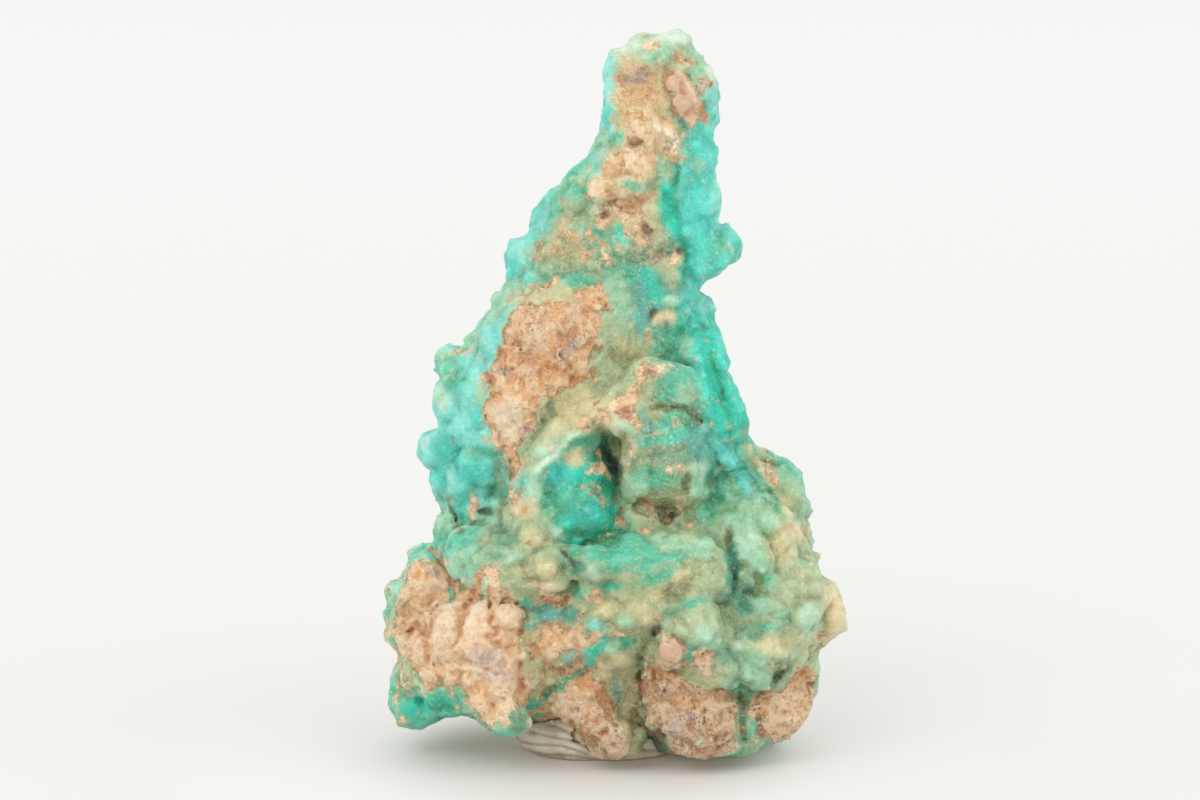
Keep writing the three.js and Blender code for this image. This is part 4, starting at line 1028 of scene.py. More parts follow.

# Colours of the bare rock, in the same form. The dark brown and rust spots in its pits and grooves, and the
# umber at the feet's lowest parts, are painted shade.
rockTints = [
    ("fawn", 2.4, 81, 6, 12), ("lilac", 3, 88.8, 1.6, 1), ("rust", 4.6, 89.8, 0.5, 0.9),
    # the dark brown and rust spots set in the pits on this line and the next three are painted shade
    ("dirt", 2.8, 80.2, 0.9, 0.5, 10), ("clay", 1, 78, 2.6, 1.2, 10), ("cream", 7, 80.6, 1.2, 1.4, 40),
    ("orange", -0.6, 74.4, 1.2, 1.4), ("cream", -2.4, 71.2, 0.7, 1.2), ("dirt", -1.1, 71, 0.7, 0.6),
    ("rust", 1.4, 71.5, 0.6, 0.3), ("dirt", 4.1, 69, 0.7, 1, 20), ("ochre", 2.6, 69, 0.8, 1.4),
    ("dirt", 8.4, 66.2, 0.4, 0.7, 20), ("lilac", 5.2, 65.2, 0.9, 0.8), ("pinkBrown", 9, 86, 2.2, 4.6, 24),
    ("clay", 9.9, 86.4, 0.3, 2.6, 20), ("rust", 7.6, 88.2, 0.6, 0.5), ("pinkBrown", 11.4, 87.4, 1.3, 1.3),
    ("lilac", 11.2, 87.2, 0.5, 0.5), ("rust", 8.4, 91.4, 0.8, 0.5), ("orange", -6, 66.8, 5, 2.8),
    ("orange", -9, 53, 9, 10), ("tan", -11.6, 57.6, 2, 1.6), ("orange", -12.4, 56.8, 1.2, 1.6),
    ("rust", -6.8, 55.6, 0.8, 1.2, 30), ("peach", -9.6, 55.6, 1.4, 2), ("rust", -3.6, 58.4, 2, 0.6),
    ("lilac", -5.2, 54.2, 1.4, 0.7, 30), ("lilac", -6.6, 52.6, 1.2, 0.5, 10),
    ("lilac", -14.4, 50.6, 1.4, 0.5, -10), ("rust", -16.2, 49.6, 0.8, 0.8),
    ("rust", -11.2, 51.8, 1.2, 0.8, 30), ("rust", -4.8, 49.4, 1.4, 0.5, -20),
    ("cream", -13.8, 44.2, 1.9, 2.6), ("lilac", -11.6, 42.6, 1.2, 0.6),
    ("orange", 3.4, 49.2, 0.8, 1.4, -30), ("peach", 2, 46.8, 1.4, 1), ("pinkBrown", 1.6, 45, 1, 1),
    ("pinkBrown", 4.8, 50.8, 0.9, 0.4), ("ochre", -1.9, 38.4, 1.2, 1.9), ("rust", -1.5, 38.8, 0.4, 1),
    ("rust", 3.8, 33.8, 1.5, 0.4, -26), ("rust", 0.8, 31.6, 0.5, 1.4), ("cream", -18.6, 32.2, 1, 1.8),
    ("ochre", 20.2, 37, 1.2, 1.6, -30), ("orange", -25, 24.6, 1.8, 1.6), ("lilac", -23.4, 24.2, 0.7, 0.6),
    ("lilac", -22.6, 22.4, 1.2, 0.8), ("ochre", -24.2, 20.4, 1.6, 0.8), ("rust", -22.8, 19.8, 1.2, 0.5, 20),
    # the rust line and the dark brown spot here lie in a groove and a pit: painted shade
    ("rust", -26.4, 17, 1.6, 0.8, -10), ("dirt", -24.6, 16.6, 0.7, 0.3, -30), ("ochre", -27.8, 18, 1, 2.4),
    ("clay", -19, 13.6, 7, 9), ("peach", -21.6, 17.8, 1.8, 2.6, 20), ("peach", -18, 16.4, 2.6, 2.4),
    # the dark brown spot here sits in a pit: painted shade
    ("ochre", -20.2, 18.2, 0.5, 1.6, -20), ("dirt", -12, 16.5, 0.4, 0.4),
    ("lilac", -16.4, 13.4, 2.2, 1, -20), ("lilac", -15.4, 10.6, 2, 1), ("clay", -16, 7.6, 3, 2.6),
    ("orange", -17.6, 8.4, 1.2, 1.4), ("rust", -12.2, 9.6, 0.9, 0.8), ("rust", -17.6, 22.8, 0.9, 0.5, 50),
    ("peach", -15, 23.2, 0.9, 1.8), ("rust", -8.2, 20.8, 2.2, 0.5, -10), ("rust", -2.6, 21.2, 0.8, 0.6),
    ("fawn", -7.4, 15, 4.6, 3.4), ("orange", -8.6, 15.8, 2, 1.2), ("copper", -3.4, 6, 6, 7, -20),
    ("orange", -3.6, 9.4, 1.6, 1.4), ("rust", -2.2, 9.2, 0.6, 1.4, 24), ("rust", -3, 6.6, 1, 0.8),
    # the rust spot at the pit by the centre foot is painted shade
    ("ochre", -8, 6.6, 1.2, 1.2), ("rust", -2.4, 4.8, 0.8, 0.4), ("rust", 0.2, 3, 0.8, 1),
    # umber at the feet's lowest parts, with the copper and sienna over their lower parts, darkens them
    # towards the table: painted shade
    ("umber", -0.4, 1.6, 2.6, 2.2, -20), ("copper", 9.6, 2.4, 8, 3.4), ("sienna", 9, 7, 6, 3.4, -10),
    ("pinkBrown", 7, 13.6, 1.8, 2), ("rust", 11.4, 12.6, 0.9, 0.8), ("orange", 6, 10.6, 2.6, 1, -20),
    ("lilac", 7, 8.2, 0.9, 0.7), ("orange", 9.4, 7.6, 2.4, 0.8, -10), ("peach", 12.6, 6.4, 1.6, 1.4),
    ("lilac", 9, 5.4, 1.6, 0.6, -10), ("lilac", 7.4, 3.6, 1.4, 1), ("rust", 3.7, 6, 0.5, 1.6),
    ("orange", 22, 6.6, 4.4, 3.6, 20), ("peach", 21.8, 6.6, 2.4, 1.6, 20), ("orange", 24.2, 11, 1.2, 0.9),
    ("umber", 14.4, 1.8, 1.6, 1.8), ("orange", 18.6, 6.6, 0.8, 0.7), ("peach", 22.6, 4, 1.6, 1.4),
    ("peach", 24, 8.6, 1.4, 1.2),
]


def canvasNoise(size, seed):
    values = np.random.default_rng(seed).normal(size=canvasShape)
    values = blur(values, size, canvas["pitch"], (0, 1))
    return values / values.std()


# Lines of colour along the crust and the rock: colour, half-width, path. The dark lines that follow grooves
# and creases are painted shade, and two cream lines on the boulder are painted highlights.
crustLines = [
    ("emerald", 0.9, [(6.5, 74), (6.9, 72), (7.3, 70.2), (7.9, 69.2)]),
    ("emerald", 0.45, [(8.3, 78.4), (8.6, 76.6), (8, 75), (7.2, 74.2)]),
    ("emerald", 0.5, [(7.6, 69.4), (8.7, 68), (9.3, 66), (9, 63.6)]),
    ("jade", 0.25, [(8.3, 78), (8.6, 76.6), (8, 75.2)]), ("jade", 0.3, [(9.2, 67), (9.3, 65.6), (9, 64.2)]),
    # painted shade: the dark lines along the brow's groove and between lobes
    ("moss", 0.22, [(5.8, 45.9), (8.5, 45.3), (10.2, 44.9), (11, 44)]),
    ("shade", 0.25, [(-6.9, 27), (-5.8, 25.6)]), ("moss", 0.3, [(-21.6, 34), (-21.2, 31.8), (-20.2, 29.9)]),
    ("haze", 0.3, [(-10.5, 37.5), (-9, 38.5), (-7.5, 39.3)]),
    ("aqua", 0.16, [(12.6, 43), (15.2, 38.6), (17.6, 35.2)]),
    ("mint", 0.18, [(14.4, 41.8), (16.6, 38.4), (19, 35)]),
    ("deepTeal", 0.25, [(11.9, 42.4), (13.4, 39), (15, 36)]),
    ("deepTeal", 0.2, [(15.6, 40.4), (17.6, 37.2), (19.8, 33.4)]),
    ("straw", 0.45, [(17.8, 40.4), (19, 38.6), (20.8, 35.6)]),
    ("teal", 0.4, [(-0.6, 25.6), (4, 26.6), (8, 26)]), ("jade", 0.3, [(-4.6, 28.2), (-1, 29.6), (3, 29.4)]),
    # painted shade: the dark line down the crevice of the foot
    ("moss", 0.25, [(3.4, 12.6), (3.7, 9.6), (3.9, 6.6)]),
    ("emerald", 0.35, [(-9, 8.2), (-6.4, 10.2), (-3.4, 12.2), (-1.6, 15)]),
    ("turquoise", 0.18, [(11, 52.6), (12, 48.6), (12.6, 45)]),
    ("turquoise", 0.2, [(13.6, 54), (14.6, 50), (16.4, 45.6)]),
    ("jade", 0.3, [(12.6, 52.6), (13.4, 49), (15, 45)]),
    ("sage", 0.3, [(-8.3, 46.4), (-9.2, 44), (-10.5, 41.5)]),
]
rockLines = [
    # painted highlight: the cream line beside the boulder's groove
    ("cream", 0.3, [(-18, 20.2), (-18.6, 18.4), (-19.7, 16.6), (-20.2, 15)]),
    # painted shade: the rust lines along the boulder's grooves
    ("rust", 0.2, [(-18.6, 20.6), (-19.3, 19.4), (-19, 18.4), (-20.1, 17.4), (-20.3, 16.2), (-21, 14.8)]),
    ("rust", 0.3, [(-24.3, 14.6), (-24.6, 15.8), (-23.8, 18.4), (-22.2, 20.2)]),
    ("rust", 0.2, [(-15.8, 19), (-16.2, 17.8), (-15.2, 16.8), (-15.8, 16), (-17, 15.8)]),
    ("lilac", 0.25, [(-19.4, 12.8), (-17.4, 12.4), (-15, 11.4)]),
    ("lilac", 0.2, [(-16, 15.4), (-14.6, 13.4), (-15.4, 11), (-14, 9)]),
    ("rust", 0.3, [(-17.4, 24), (-18.6, 21.8)]),
    # painted highlight: the cream line along the boulder's top edge
    ("cream", 0.3, [(-23.6, 15.6), (-22.4, 19.4), (-19.8, 20.8)]),
    # painted shade: the rust line along a groove and the dark brown line at a pit
    ("rust", 0.25, [(-13, 14.8), (-14.8, 14.6), (-16.4, 15.6)]), ("dirt", 0.25, [(2.4, 80), (3.6, 80.3)]),
    ("cream", 0.35, [(5.2, 82.1), (7.5, 80.6), (8.3, 79.5)]), ("rust", 0.25, [(3.6, 72.6), (5.4, 73.2)]),
    # painted shade: the dark brown line at a pit
    ("dirt", 0.3, [(-2.8, 51.6), (-2, 53.4)]), ("rust", 0.3, [(-15.6, 43.8), (-14.6, 41)]),
]


brush = {  # how softly each kind of mark fades, as a share of its size
    "tint": 0.5,
    "strength": 0.92,  # of a tint
    "bareSpot": 0.8,
    "over": 0.35,
    "pit": 0.45,
    "region": 0.4,
    "chip": 0.15,  # mm
    "shaft": 0.4,  # mm
    "bareEdge": (2.4, 0.4),  # times a patch's own softness, and mm more
    "patchRise": 0.4,  # share of a patch's height that is used
    "halo": 1,  # mm
    "wide": 3,  # mm, for the colours carried round to the sides
    "knobbly": 0.5,  # where no region says otherwise
    "gritty": 0.35,
}


def paintLayer(base, tints, lines):
    layer = np.zeros(canvasShape + (3,)) + toLinear(palette[base])
    for colour, *oval in tints:
        part, amount = spot(oval, brush["tint"])
        layer[part] += (toLinear(palette[colour]) - layer[part]) * (amount * brush["strength"])[..., None]
    for colour, halfWidth, path in lines:
        part, amount = stroke(path, halfWidth)
        layer[part] += (toLinear(palette[colour]) - layer[part]) * amount[..., None]
    return [layer[..., i] for i in range(3)]


def paintRegions(layer, regions):
    # each region pulls the layer to its own share
    for share, *oval in regions:
        part, amount = spot(oval, brush["region"])
        layer[part] += (share - layer[part]) * amount


def paintCanvas():
    # layers: bareness, crust colour, rock colour, bareness seen from further off, share of dark
    # specks, lift in mm, knobbliness and distance outside the edge in mm
    rock = np.zeros(canvasShape)
    lift = np.zeros(canvasShape)
    times, more = brush["bareEdge"]
    for bare, soft, high, corners in rockPatches.values():
        part, amount = patch(corners, soft * times + more)
        rock[part] = np.maximum(rock[part], amount * bare)
        part, amount = patch(corners, soft)
        lift[part] = np.maximum(lift[part], amount * high * brush["patchRise"])
    for bare, *oval in rockSpots:
        part, amount = spot(oval, brush["bareSpot"])
        rock[part] = np.maximum(rock[part], amount * bare)
    for oval in crustOver:
        part, amount = spot(oval, brush["over"])
        rock[part] *= 1 - amount
    for proud, corners in chips:
        part, amount = patch(corners, brush["chip"])
        lift[part] += amount * proud
    for depth, *oval in pits:
        part, amount = spot(oval, brush["pit"])
        lift[part] -= amount * depth
    for halfWidth, depth, path in strokes:
        part, amount = stroke(path, halfWidth)
        lift[part] -= amount * depth
    crustLayers = paintLayer("teal", [tint for tints in crustTints.values() for tint in tints], crustLines)
    # the crisp hollows are filled with the shade colour: painted shade
    for end, blend, corners in shafts.values():
        part, amount = patch(corners, brush["shaft"])
        for band, value in zip(crustLayers, toLinear(palette["shade"])):
            band[part] += (value - band[part]) * amount
        rock[part] *= 1 - amount
    rockLayers = paintLayer("tan", rockTints, rockLines)
    halo = blur(rock, brush["halo"], canvas["pitch"], (0, 1))
    for share, *oval in flecked:
        part, amount = spot(oval, brush["tint"])
        halo[part] = np.maximum(halo[part], amount * share)
    knob = np.full(canvasShape, brush["knobbly"])
    paintRegions(knob, knobbly)
    grit = np.full(canvasShape, brush["gritty"])
    paintRegions(grit, gritty)
    x, y = np.broadcast_arrays(canvasAcross[:, None], canvasUp[None, :])
    outside = edgeDistance(outline, x, y) - rim["slack"]
    for size, high, seed in rim["ragged"]:
        outside = outside + canvasNoise(size, seed) * high
    stack = np.stack([rock, *crustLayers, *rockLayers, halo, grit, lift, knob, outside], -1)
    return stack.astype(np.float32)


layerOf = {
    "paint": slice(0, 9),
    "colours": slice(1, 7),
    "lift": slice(9, 10),
    "knob": slice(10, 11),
    "outside": slice(11, 12),
}


def readCanvas(layers, across, up):
    size = np.array(layers.shape[:2])
    a = np.clip((across - canvas["across"][0]) / canvas["pitch"], 0, size[0] - 1.001)
    b = np.clip((up - canvas["up"][0]) / canvas["pitch"], 0, size[1] - 1.001)
    i = a.astype(int)
    j = b.astype(int)
    s = (a - i)[:, None]
    t = (b - j)[:, None]
    near = layers[i, j] * (1 - s) + layers[i + 1, j] * s
    far = layers[i, j + 1] * (1 - s) + layers[i + 1, j + 1] * s
    return near * (1 - t) + far * t


# Bare rock behind and underneath, as places on the stone itself: centre, half-sizes, how bare.
rockBehind = {
    "backFoot": ((10, 15, 5), (13, 8, 6), 1),
    "backFootLeft": ((-12, 15, 9), (13, 8, 8), 1),
    "backRise": ((-11, 16, 20), (7, 8, 9), 1),
    "backMiddle": ((-7, 12, 34), (6.5, 8, 11), 1),
    "backUpper": ((-2, 10, 49), (5, 7, 9), 1),
    "backNeck": ((3, 8, 62), (3.5, 6, 8), 0.9),
    "backStep": ((14, 14, 27), (5, 6, 4), 0.8),
    "backSpire": ((6, 6, 82), (3, 4, 8), 0.9),
    "sideRight": ((26, 4, 8), (6, 8, 6), 1),
    "sideRightHigh": ((15, 6, 50), (3, 5, 7), 0.7),
    "sideLeft": ((-27, 6, 17), (6, 8, 8), 1),
    "sideLeftHigh": ((-18, 8, 50), (4, 5, 5), 0.8),
    "under": ((2, 4, 0), (13, 12, 3), 1),
}

behindTints = {
    "low": ("celadon", "mint"),
    "high": ("turquoise", "aqua"),
    "from": (14, 46),  # mm over the table, where low turns to high
    "deep": ("lagoon", 0.7),
    "drift": ("paleMint", 0.6),
    "front": 0.35,  # share of the colours in front that carries round
    "stain": ("straw", 0.7),  # round the bare rock
    "rock": ("clay", "cream"),
    "gritty": 0.5,
    "turn": (-0.15, 0.2),  # facing at which the side behind gives way to the front
    "loose": (0.1, 0.6, 2.4),  # facing over which marks stop wandering more, and how much more
    "ragged": (0.5, 0.16, 0.4),  # how far each noise bends the border of the bare rock
    "fade": (0.6, 1.2),  # share of a place's half-sizes over which rock gives way to crust
    "stray": (0.8, 1.2, 0.7),  # noise at which stray spots start and are full, and how bare they are
    "swing": 0.6,  # how far the slow noises swing between two colours
    "driftFrom": (0, 0.9),
}


def paintAt(points, facing, layers, wide, wander):
    # bareness, crust colour, rock colour, bareness round about and grit, at places on the stone
    across, up = flat(points)
    start, end, more = behindTints["loose"]
    loose = 1 + more * (1 - smoothStep(start, end, facing))  # breaks up what would smear on the sides
    across = across + wander[0] * loose
    up = up + wander[1] * loose
    front = readCanvas(layers[..., layerOf["paint"]], across, up)
    front[:, :1] = readCanvas(layers[..., :1], across + wander[0] * loose, up + wander[1] * loose)
    colours = readCanvas(wide, across, up)
    bare = np.zeros(len(points))
    near, slow, middling = behindTints["ragged"]
    for centre, halfSizes, strength in rockBehind.values():
        away = np.linalg.norm((points - np.array(centre)) / halfSizes, axis=1)
        away = away + (wander[0] + wander[1]) * near + wander[2] * slow + wander[3] * middling
        bare = np.maximum(bare, strength * (1 - smoothStep(*behindTints["fade"], away)))
    start, end, strength = behindTints["stray"]
    bare = np.maximum(bare, strength * smoothStep(start, end, wander[3] + wander[0] + wander[1]))
    tone, second = [np.clip(0.5 + behindTints["swing"] * n, 0, 1)[:, None] for n in wander[2:]]

    def blend(key):
        one, other = [toLinear(palette[name]) for name in behindTints[key]]
        return one * tone + other * (1 - tone)

    def toward(colour, key, share):
        name, strength = behindTints[key]
        return colour + (toLinear(palette[name]) - colour) * share * strength

    crust = blend("low")
    crust = crust + (blend("high") - crust) * smoothStep(*behindTints["from"], points[:, 2])[:, None]
    crust = toward(crust, "deep", second)
    drift = smoothStep(*behindTints["driftFrom"], wander[1] * 1.5 - wander[3])
    crust = toward(crust, "drift", drift[:, None])
    crust = crust + (colours[:, :3] - crust) * behindTints["front"]
    crust = toward(crust, "stain", bare[:, None])
    grit = np.full(len(points), behindTints["gritty"])
    behind = np.concatenate([bare[:, None], crust, blend("rock"), bare[:, None], grit[:, None]], 1)
    share = smoothStep(*behindTints["turn"], facing)[:, None]
    return behind + (front - behind) * share


rim = {
    "spacing": (1.3, 2.4),  # mm between knobs along the edge
    "radius": (0.8, 1.5),
    "backing": 2.2,  # radius of the ball behind each knob
    "blend": 0.45,
    "trim": 0.5,  # mm, how softly what lies beyond the edge is cut
    "slack": 0.1,  # mm beyond the outline that is kept
    "ragged": ((0.35, 0.12, 91), (0.9, 0.16, 92)),  # mm across, mm high and seed of each noise on the edge
    "crumbSpacing": (0.6, 1.5),
    "crumbRadius": (0.4, 0.75),
    "nears": (-20, 20, 0.5),  # mm of nearness that a search along a sight line steps through
    "foot": (-14, 24, 2.6),  # no knobs between these places across and below this height, where it stands
    "inset": (1.3, 1.1),  # of the backing and of the knob, as a share of each radius
    "onRock": 0.8,  # size of a knob on bare rock
}

back = {
    "spacing": 7.5,  # mm between the large lobes behind
    "size": (2.2, 4.6),
    "uneven": (0.6, 1.3),  # of each half-size
    "warp": 0.5,  # share of the warp of the masses
    "proud": 0.34,
    "blend": 0.9,
    "knobbly": (0.65, 0.6, 0.05),  # mean, swing and least of how knobbly it is
}

crust = {
    "bubbleSpacing": 2.6,
    "bubbleSize": (1, 2),
    "bubbleGrowth": (0.8, 0.3),  # size where the crust is smooth, and how much more where it is knobbly
    "bubbleProud": (0.28, 1.6, 0.12),  # share of the radius over the surface, its rise and its least
    "knobSpacing": 1.4,
    "knobSize": (0.5, 0.95),
    "knobProud": 0.5,
    "knobShare": 0.8,  # of the places that are wholly knobbly
    "blend": 0.3,
    "thickness": 0.14,
    "mounds": ((2.6, 0.12), (1.2, 0.06)),  # mm across, mm high
    "wave": (0.8, 0.06),
    "lobeBlend": 0.35,
    "lobeWarp": 0.25,  # share of the warp of the masses
    "below": 0.4,  # bareness below which bubbles and knobs grow
}

rockForm = {
    "lumpSpacing": 2.4,
    "lumpSize": (0.6, 1.2),
    "lumpProud": 0.22,
    "blend": 0.3,
    "above": 0.6,  # bareness above which lumps stand
    "chips": ((2.6, 0.24, 0.9), (1.2, 0.2, 0.9)),  # mm across, mm high, tilt
    "grain": (0.7, 0.5),  # mm across, the two sizes of the fine relief
    "grainHigh": 0.4,
    "bySpecks": (1.4, 0.3),  # how fast the relief grows with the specks, and the share left without any
    "border": (0.35, 0.62),  # bareness over which crust relief turns to rock relief
}

wandering = {  # how far marks and borders stray from their drawn place
    "near": ((2.4, 0.3), (1, 0.25)),  # mm across, mm
    "tone": (9, 6),  # mm across, the two slow changes of colour behind
    "jumble": (1.3, 0.35),  # mm across, mm, for the relief
    "liftFacing": (0.25, 0.55),  # facing over which drawn relief fades in
    "knobFacing": (0.1, 0.5),  # the same for what the canvas says of knobs
}


def facingGrid(smooth):
    # how squarely each place faces the viewer, from -1 to 1
    x, y, z = np.gradient(smooth)
    facing = -(y * np.float32(lookWay[1]) + z * np.float32(lookWay[2]))
    return facing / np.maximum(np.sqrt(x * x + y * y + z * z), 1e-6)


def addMasses(field, push):
    for forms, act in ((masses, joinSoft), (hollows, carveSoft)):
        for across, up, near, radii, turn, blend in forms.values():
            centre = seen(across, up, near)
            part = window(centre, max(radii) + blend + block["warp"] * 2)
            shape = ovalDistance(centre, radii, (0, -turn, 0), part, push)
            field[part] = act(field[part], shape, blend)


def addShafts(field, push):
    for end, blend, corners in shafts.values():
        corners = np.array(corners)
        middle = (corners.min(0) + corners.max(0)) / 2
        part = window(seen(*middle, end + 5), np.ptp(corners, 0).max() / 2 + 6)  # mm to spare
        x, y, z = np.meshgrid(*[gridAxes[a][part[a]] for a in range(3)], indexing="ij")
        across, up = flat(np.stack([x.ravel(), y.ravel(), z.ravel()], 1))
        shape = edgeDistance(corners, across, up).reshape(x.shape) + push[0][part] * block["shaftWarp"]
        field[part] = carveSoft(field[part], np.maximum(shape, end + y).astype(np.float32), blend)


def addLobes(field, push):
    for group in lobes.values():
        for proud, *oval in group:
            across, up, halfAcross, halfUp, turn = (*oval, 0)[:5]
            deep = (halfAcross + halfUp) / 2
            centre = seen(across, up, nearAt(field, across, up) + proud - deep)
            part = window(centre, max(halfAcross, halfUp) + 1.5)
            radii = (halfAcross, deep, halfUp)
            shape = ovalDistance(centre, radii, (0, -turn, 0), part, push, crust["lobeWarp"])
            field[part] = joinSoft(field[part], shape, crust["lobeBlend"])


def addBackLobes(field, push):
    # large turned ovals, where the stone faces away
    smooth = blur(field, block["smooth"])
    places = scatter(field, back["spacing"], 34)
    places = places[sample(facingGrid(smooth), places) < 0]
    ways = slopeAt(smooth, places)
    for place, way in zip(places, ways):
        size = random.uniform(*back["size"])
        radii = size * random.uniform(*back["uneven"], 3)
        centre = place - way * radii.mean() * (1 - back["proud"])
        part = window(centre, radii.max() + 2)
        shape = ovalDistance(centre, radii, random.uniform(0, 180, 3), part, push, back["warp"])
        field[part] = joinSoft(field[part], shape, back["blend"])
    print(len(places), "lobes behind")


def ballAtEdge(field, x, y, radius):
    # a ball near where the stone comes closest to the sight line through (x, y)
    nears = np.arange(*rim["nears"])
    near = nears[np.argmin(sample(field, seen(x, y, nears)))] + random.uniform(-radius, radius)
    placeBalls(field, [seen(x, y, near)], [radius], rim["blend"])


def alongOutline(spacing):
    # places along the edge at uneven steps, with the way in
    gap = 0
    left, right, high = rim["foot"]
    corners = np.array(outline)
    for (ax, ay), (bx, by) in zip(corners, np.roll(corners, -1, 0)):
        length = math.hypot(bx - ax, by - ay)
        while gap < length:
            x = ax + (bx - ax) * gap / length
            y = ay + (by - ay) * gap / length
            if y > high or not left < x < right:
                yield x, y, (by - ay) / length, -(bx - ax) / length
            gap += random.uniform(*spacing)
        gap -= length


def addRim(field, layers):
    # knobs that draw the edge the viewer sees, then crumbs on them
    count = 0
    for x, y, inX, inY in alongOutline(rim["spacing"]):
        bare = readCanvas(layers[..., :1], np.array([x + inX]), np.array([y + inY]))[0, 0]
        radius = random.uniform(*rim["radius"]) * (rim["onRock"] if bare > 0.5 else 1)
        for size, inset in zip((rim["backing"], radius), rim["inset"]):
            ballAtEdge(field, x + inX * size * inset, y + inY * size * inset, size)
        count += 1
    for x, y, inX, inY in alongOutline(rim["crumbSpacing"]):
        radius = random.uniform(*rim["crumbRadius"])
        inset = radius * random.uniform(0.5, 1)
        ballAtEdge(field, x + inX * inset, y + inY * inset, radius)
        count += 1
    print(count, "knobs and crumbs along the edge")


def placeOn(field, smooth, places, sizes, proud, blend):
    # balls that stand out of the surface by a share of their radius
    centres = places - slopeAt(smooth, places) * (sizes * (1 - proud))[:, None]
    placeBalls(field, centres, sizes, blend)


def trimToEdge(field, layers, wander):
    near = np.nonzero(field < block["skin"])
    across, up = flat(np.stack(near, 1) * step + lowCorner)
    across = across + wander[0][near]
    up = up + wander[1][near]
    outside = readCanvas(layers[..., layerOf["outside"]], across, up)[:, 0]
    field[near] = carveSoft(field[near], -outside, rim["trim"])


def buildStoneField():
    field = blur(solidField(stoneNode), block["soften"]) + np.float32(block["shrink"])
    print("solid read onto a grid of", [int(c) for c in counts])
    push = [softNoise(block["warpSize"], seed) * np.float32(block["warp"]) for seed in (11, 12, 13)]
    addMasses(field, push)
    layers = paintCanvas()
    print("masses and hollows laid in, canvas painted")
    addLobes(field, push)
    addShafts(field, push)
    addBackLobes(field, push)
    addRim(field, layers)
    smooth = blur(field, block["smooth"])
    facing = facingGrid(smooth)
    wide = blur(layers[..., layerOf["colours"]], brush["wide"], canvas["pitch"], (0, 1))
    (long, far), (short, little) = wandering["near"]
    wander = [softNoise(long, a) * far + softNoise(short, b) * little for a, b in ((21, 24), (22, 25))]
    wander += [softNoise(size, seed) for size, seed in zip(wandering["tone"], (23, 26))]

    def paintOf(points):
        drift = [sample(n, points) for n in wander]
        return paintAt(points, sample(facing, points), layers, wide, drift)

    def knobOf(points):
        across, up = flat(points)
        share = readCanvas(layers[..., layerOf["knob"]], across, up)[:, 0]
        front = smoothStep(*wandering["knobFacing"], sample(facing, points))
        mean, swing, least = back["knobbly"]
        behind = np.clip(mean + swing * sample(wander[2], points), least, 1)
        return behind + (share - behind) * front

    lumps = scatter(field, rockForm["lumpSpacing"], 31)
    lumps = lumps[paintOf(lumps)[:, 0] > rockForm["above"]]
    sizes = random.uniform(*rockForm["lumpSize"], len(lumps))
    placeOn(field, smooth, lumps, sizes, rockForm["lumpProud"], rockForm["blend"])
    bubbles = scatter(field, crust["bubbleSpacing"], 32)
    bubbles = bubbles[paintOf(bubbles)[:, 0] < crust["below"]]
    share = knobOf(bubbles)
    least, more = crust["bubbleGrowth"]
    sizes = random.uniform(*crust["bubbleSize"], len(bubbles)) * (least + more * share)
    most, rate, least = crust["bubbleProud"]
    placeOn(field, smooth, bubbles, sizes, most * np.clip(share * rate, least, 1), crust["blend"])
    knobs = scatter(field, crust["knobSpacing"], 33)
    chance = knobOf(knobs) ** 2 * crust["knobShare"]
    knobs = knobs[(paintOf(knobs)[:, 0] < crust["below"]) & (random.uniform(0, 1, len(knobs)) < chance)]
    sizes = random.uniform(*crust["knobSize"], len(knobs))
    placeOn(field, smooth, knobs, sizes, crust["knobProud"], crust["blend"])
    print(len(lumps), "rock lumps,", len(bubbles), "bubbles,", len(knobs), "knobs")

    near = np.nonzero(np.abs(field) < block["skin"])
    points = np.stack(near, 1) * step + lowCorner
    across, up = flat(points)
    drift = [n[near] for n in wander]
    rise = readCanvas(layers[..., layerOf["lift"]], across + drift[0], up + drift[1])[:, 0]
    rise = rise * smoothStep(*wandering["liftFacing"], facing[near])
    paint = paintAt(points, facing[near], layers, wide, drift)
    bare = smoothStep(*rockForm["border"], paint[:, 0])
    size, far = wandering["jumble"]
    wobble = points + np.stack([softNoise(size, seed)[near] for seed in (46, 47, 48)], 1) * far
    coarse, fine = rockForm["grain"]
    relief = (softNoise(coarse, 43)[near] + softNoise(fine, 42)[near]) * rockForm["grainHigh"] * 0.5
    for k, (size, high, tilt) in enumerate(rockForm["chips"]):
        relief = relief + brokenRelief(wobble, size, 71 + k, tilt) * high
    size, high = crust["wave"]
    wave = softNoise(size, 45)[near] * high + crust["thickness"]
    for k, (size, high) in enumerate(crust["mounds"]):
        wave = wave + moundRelief(wobble, size, 81 + k) * high
    rate, least = rockForm["bySpecks"]
    relief = relief * (least + (1 - least) * np.clip(paint[:, 8] * rate, 0, 1))
    field[near] -= rise + relief * bare + wave * (1 - bare)
    trimToEdge(field, layers, wander)
    field = np.maximum(field, alongAxis(block["floor"] - gridAxes[2], 2))
    return field, paintOf


def fieldMesh(field):
    grid = openvdb.FloatGrid(step * 4)
    grid.transform = openvdb.createLinearTransform(step)
    grid.copyFromArray(np.clip(field, -step * 4, step * 4).astype(np.float32))
    points, quads = grid.convertToQuads(0)
    return points + lowCorner, quads


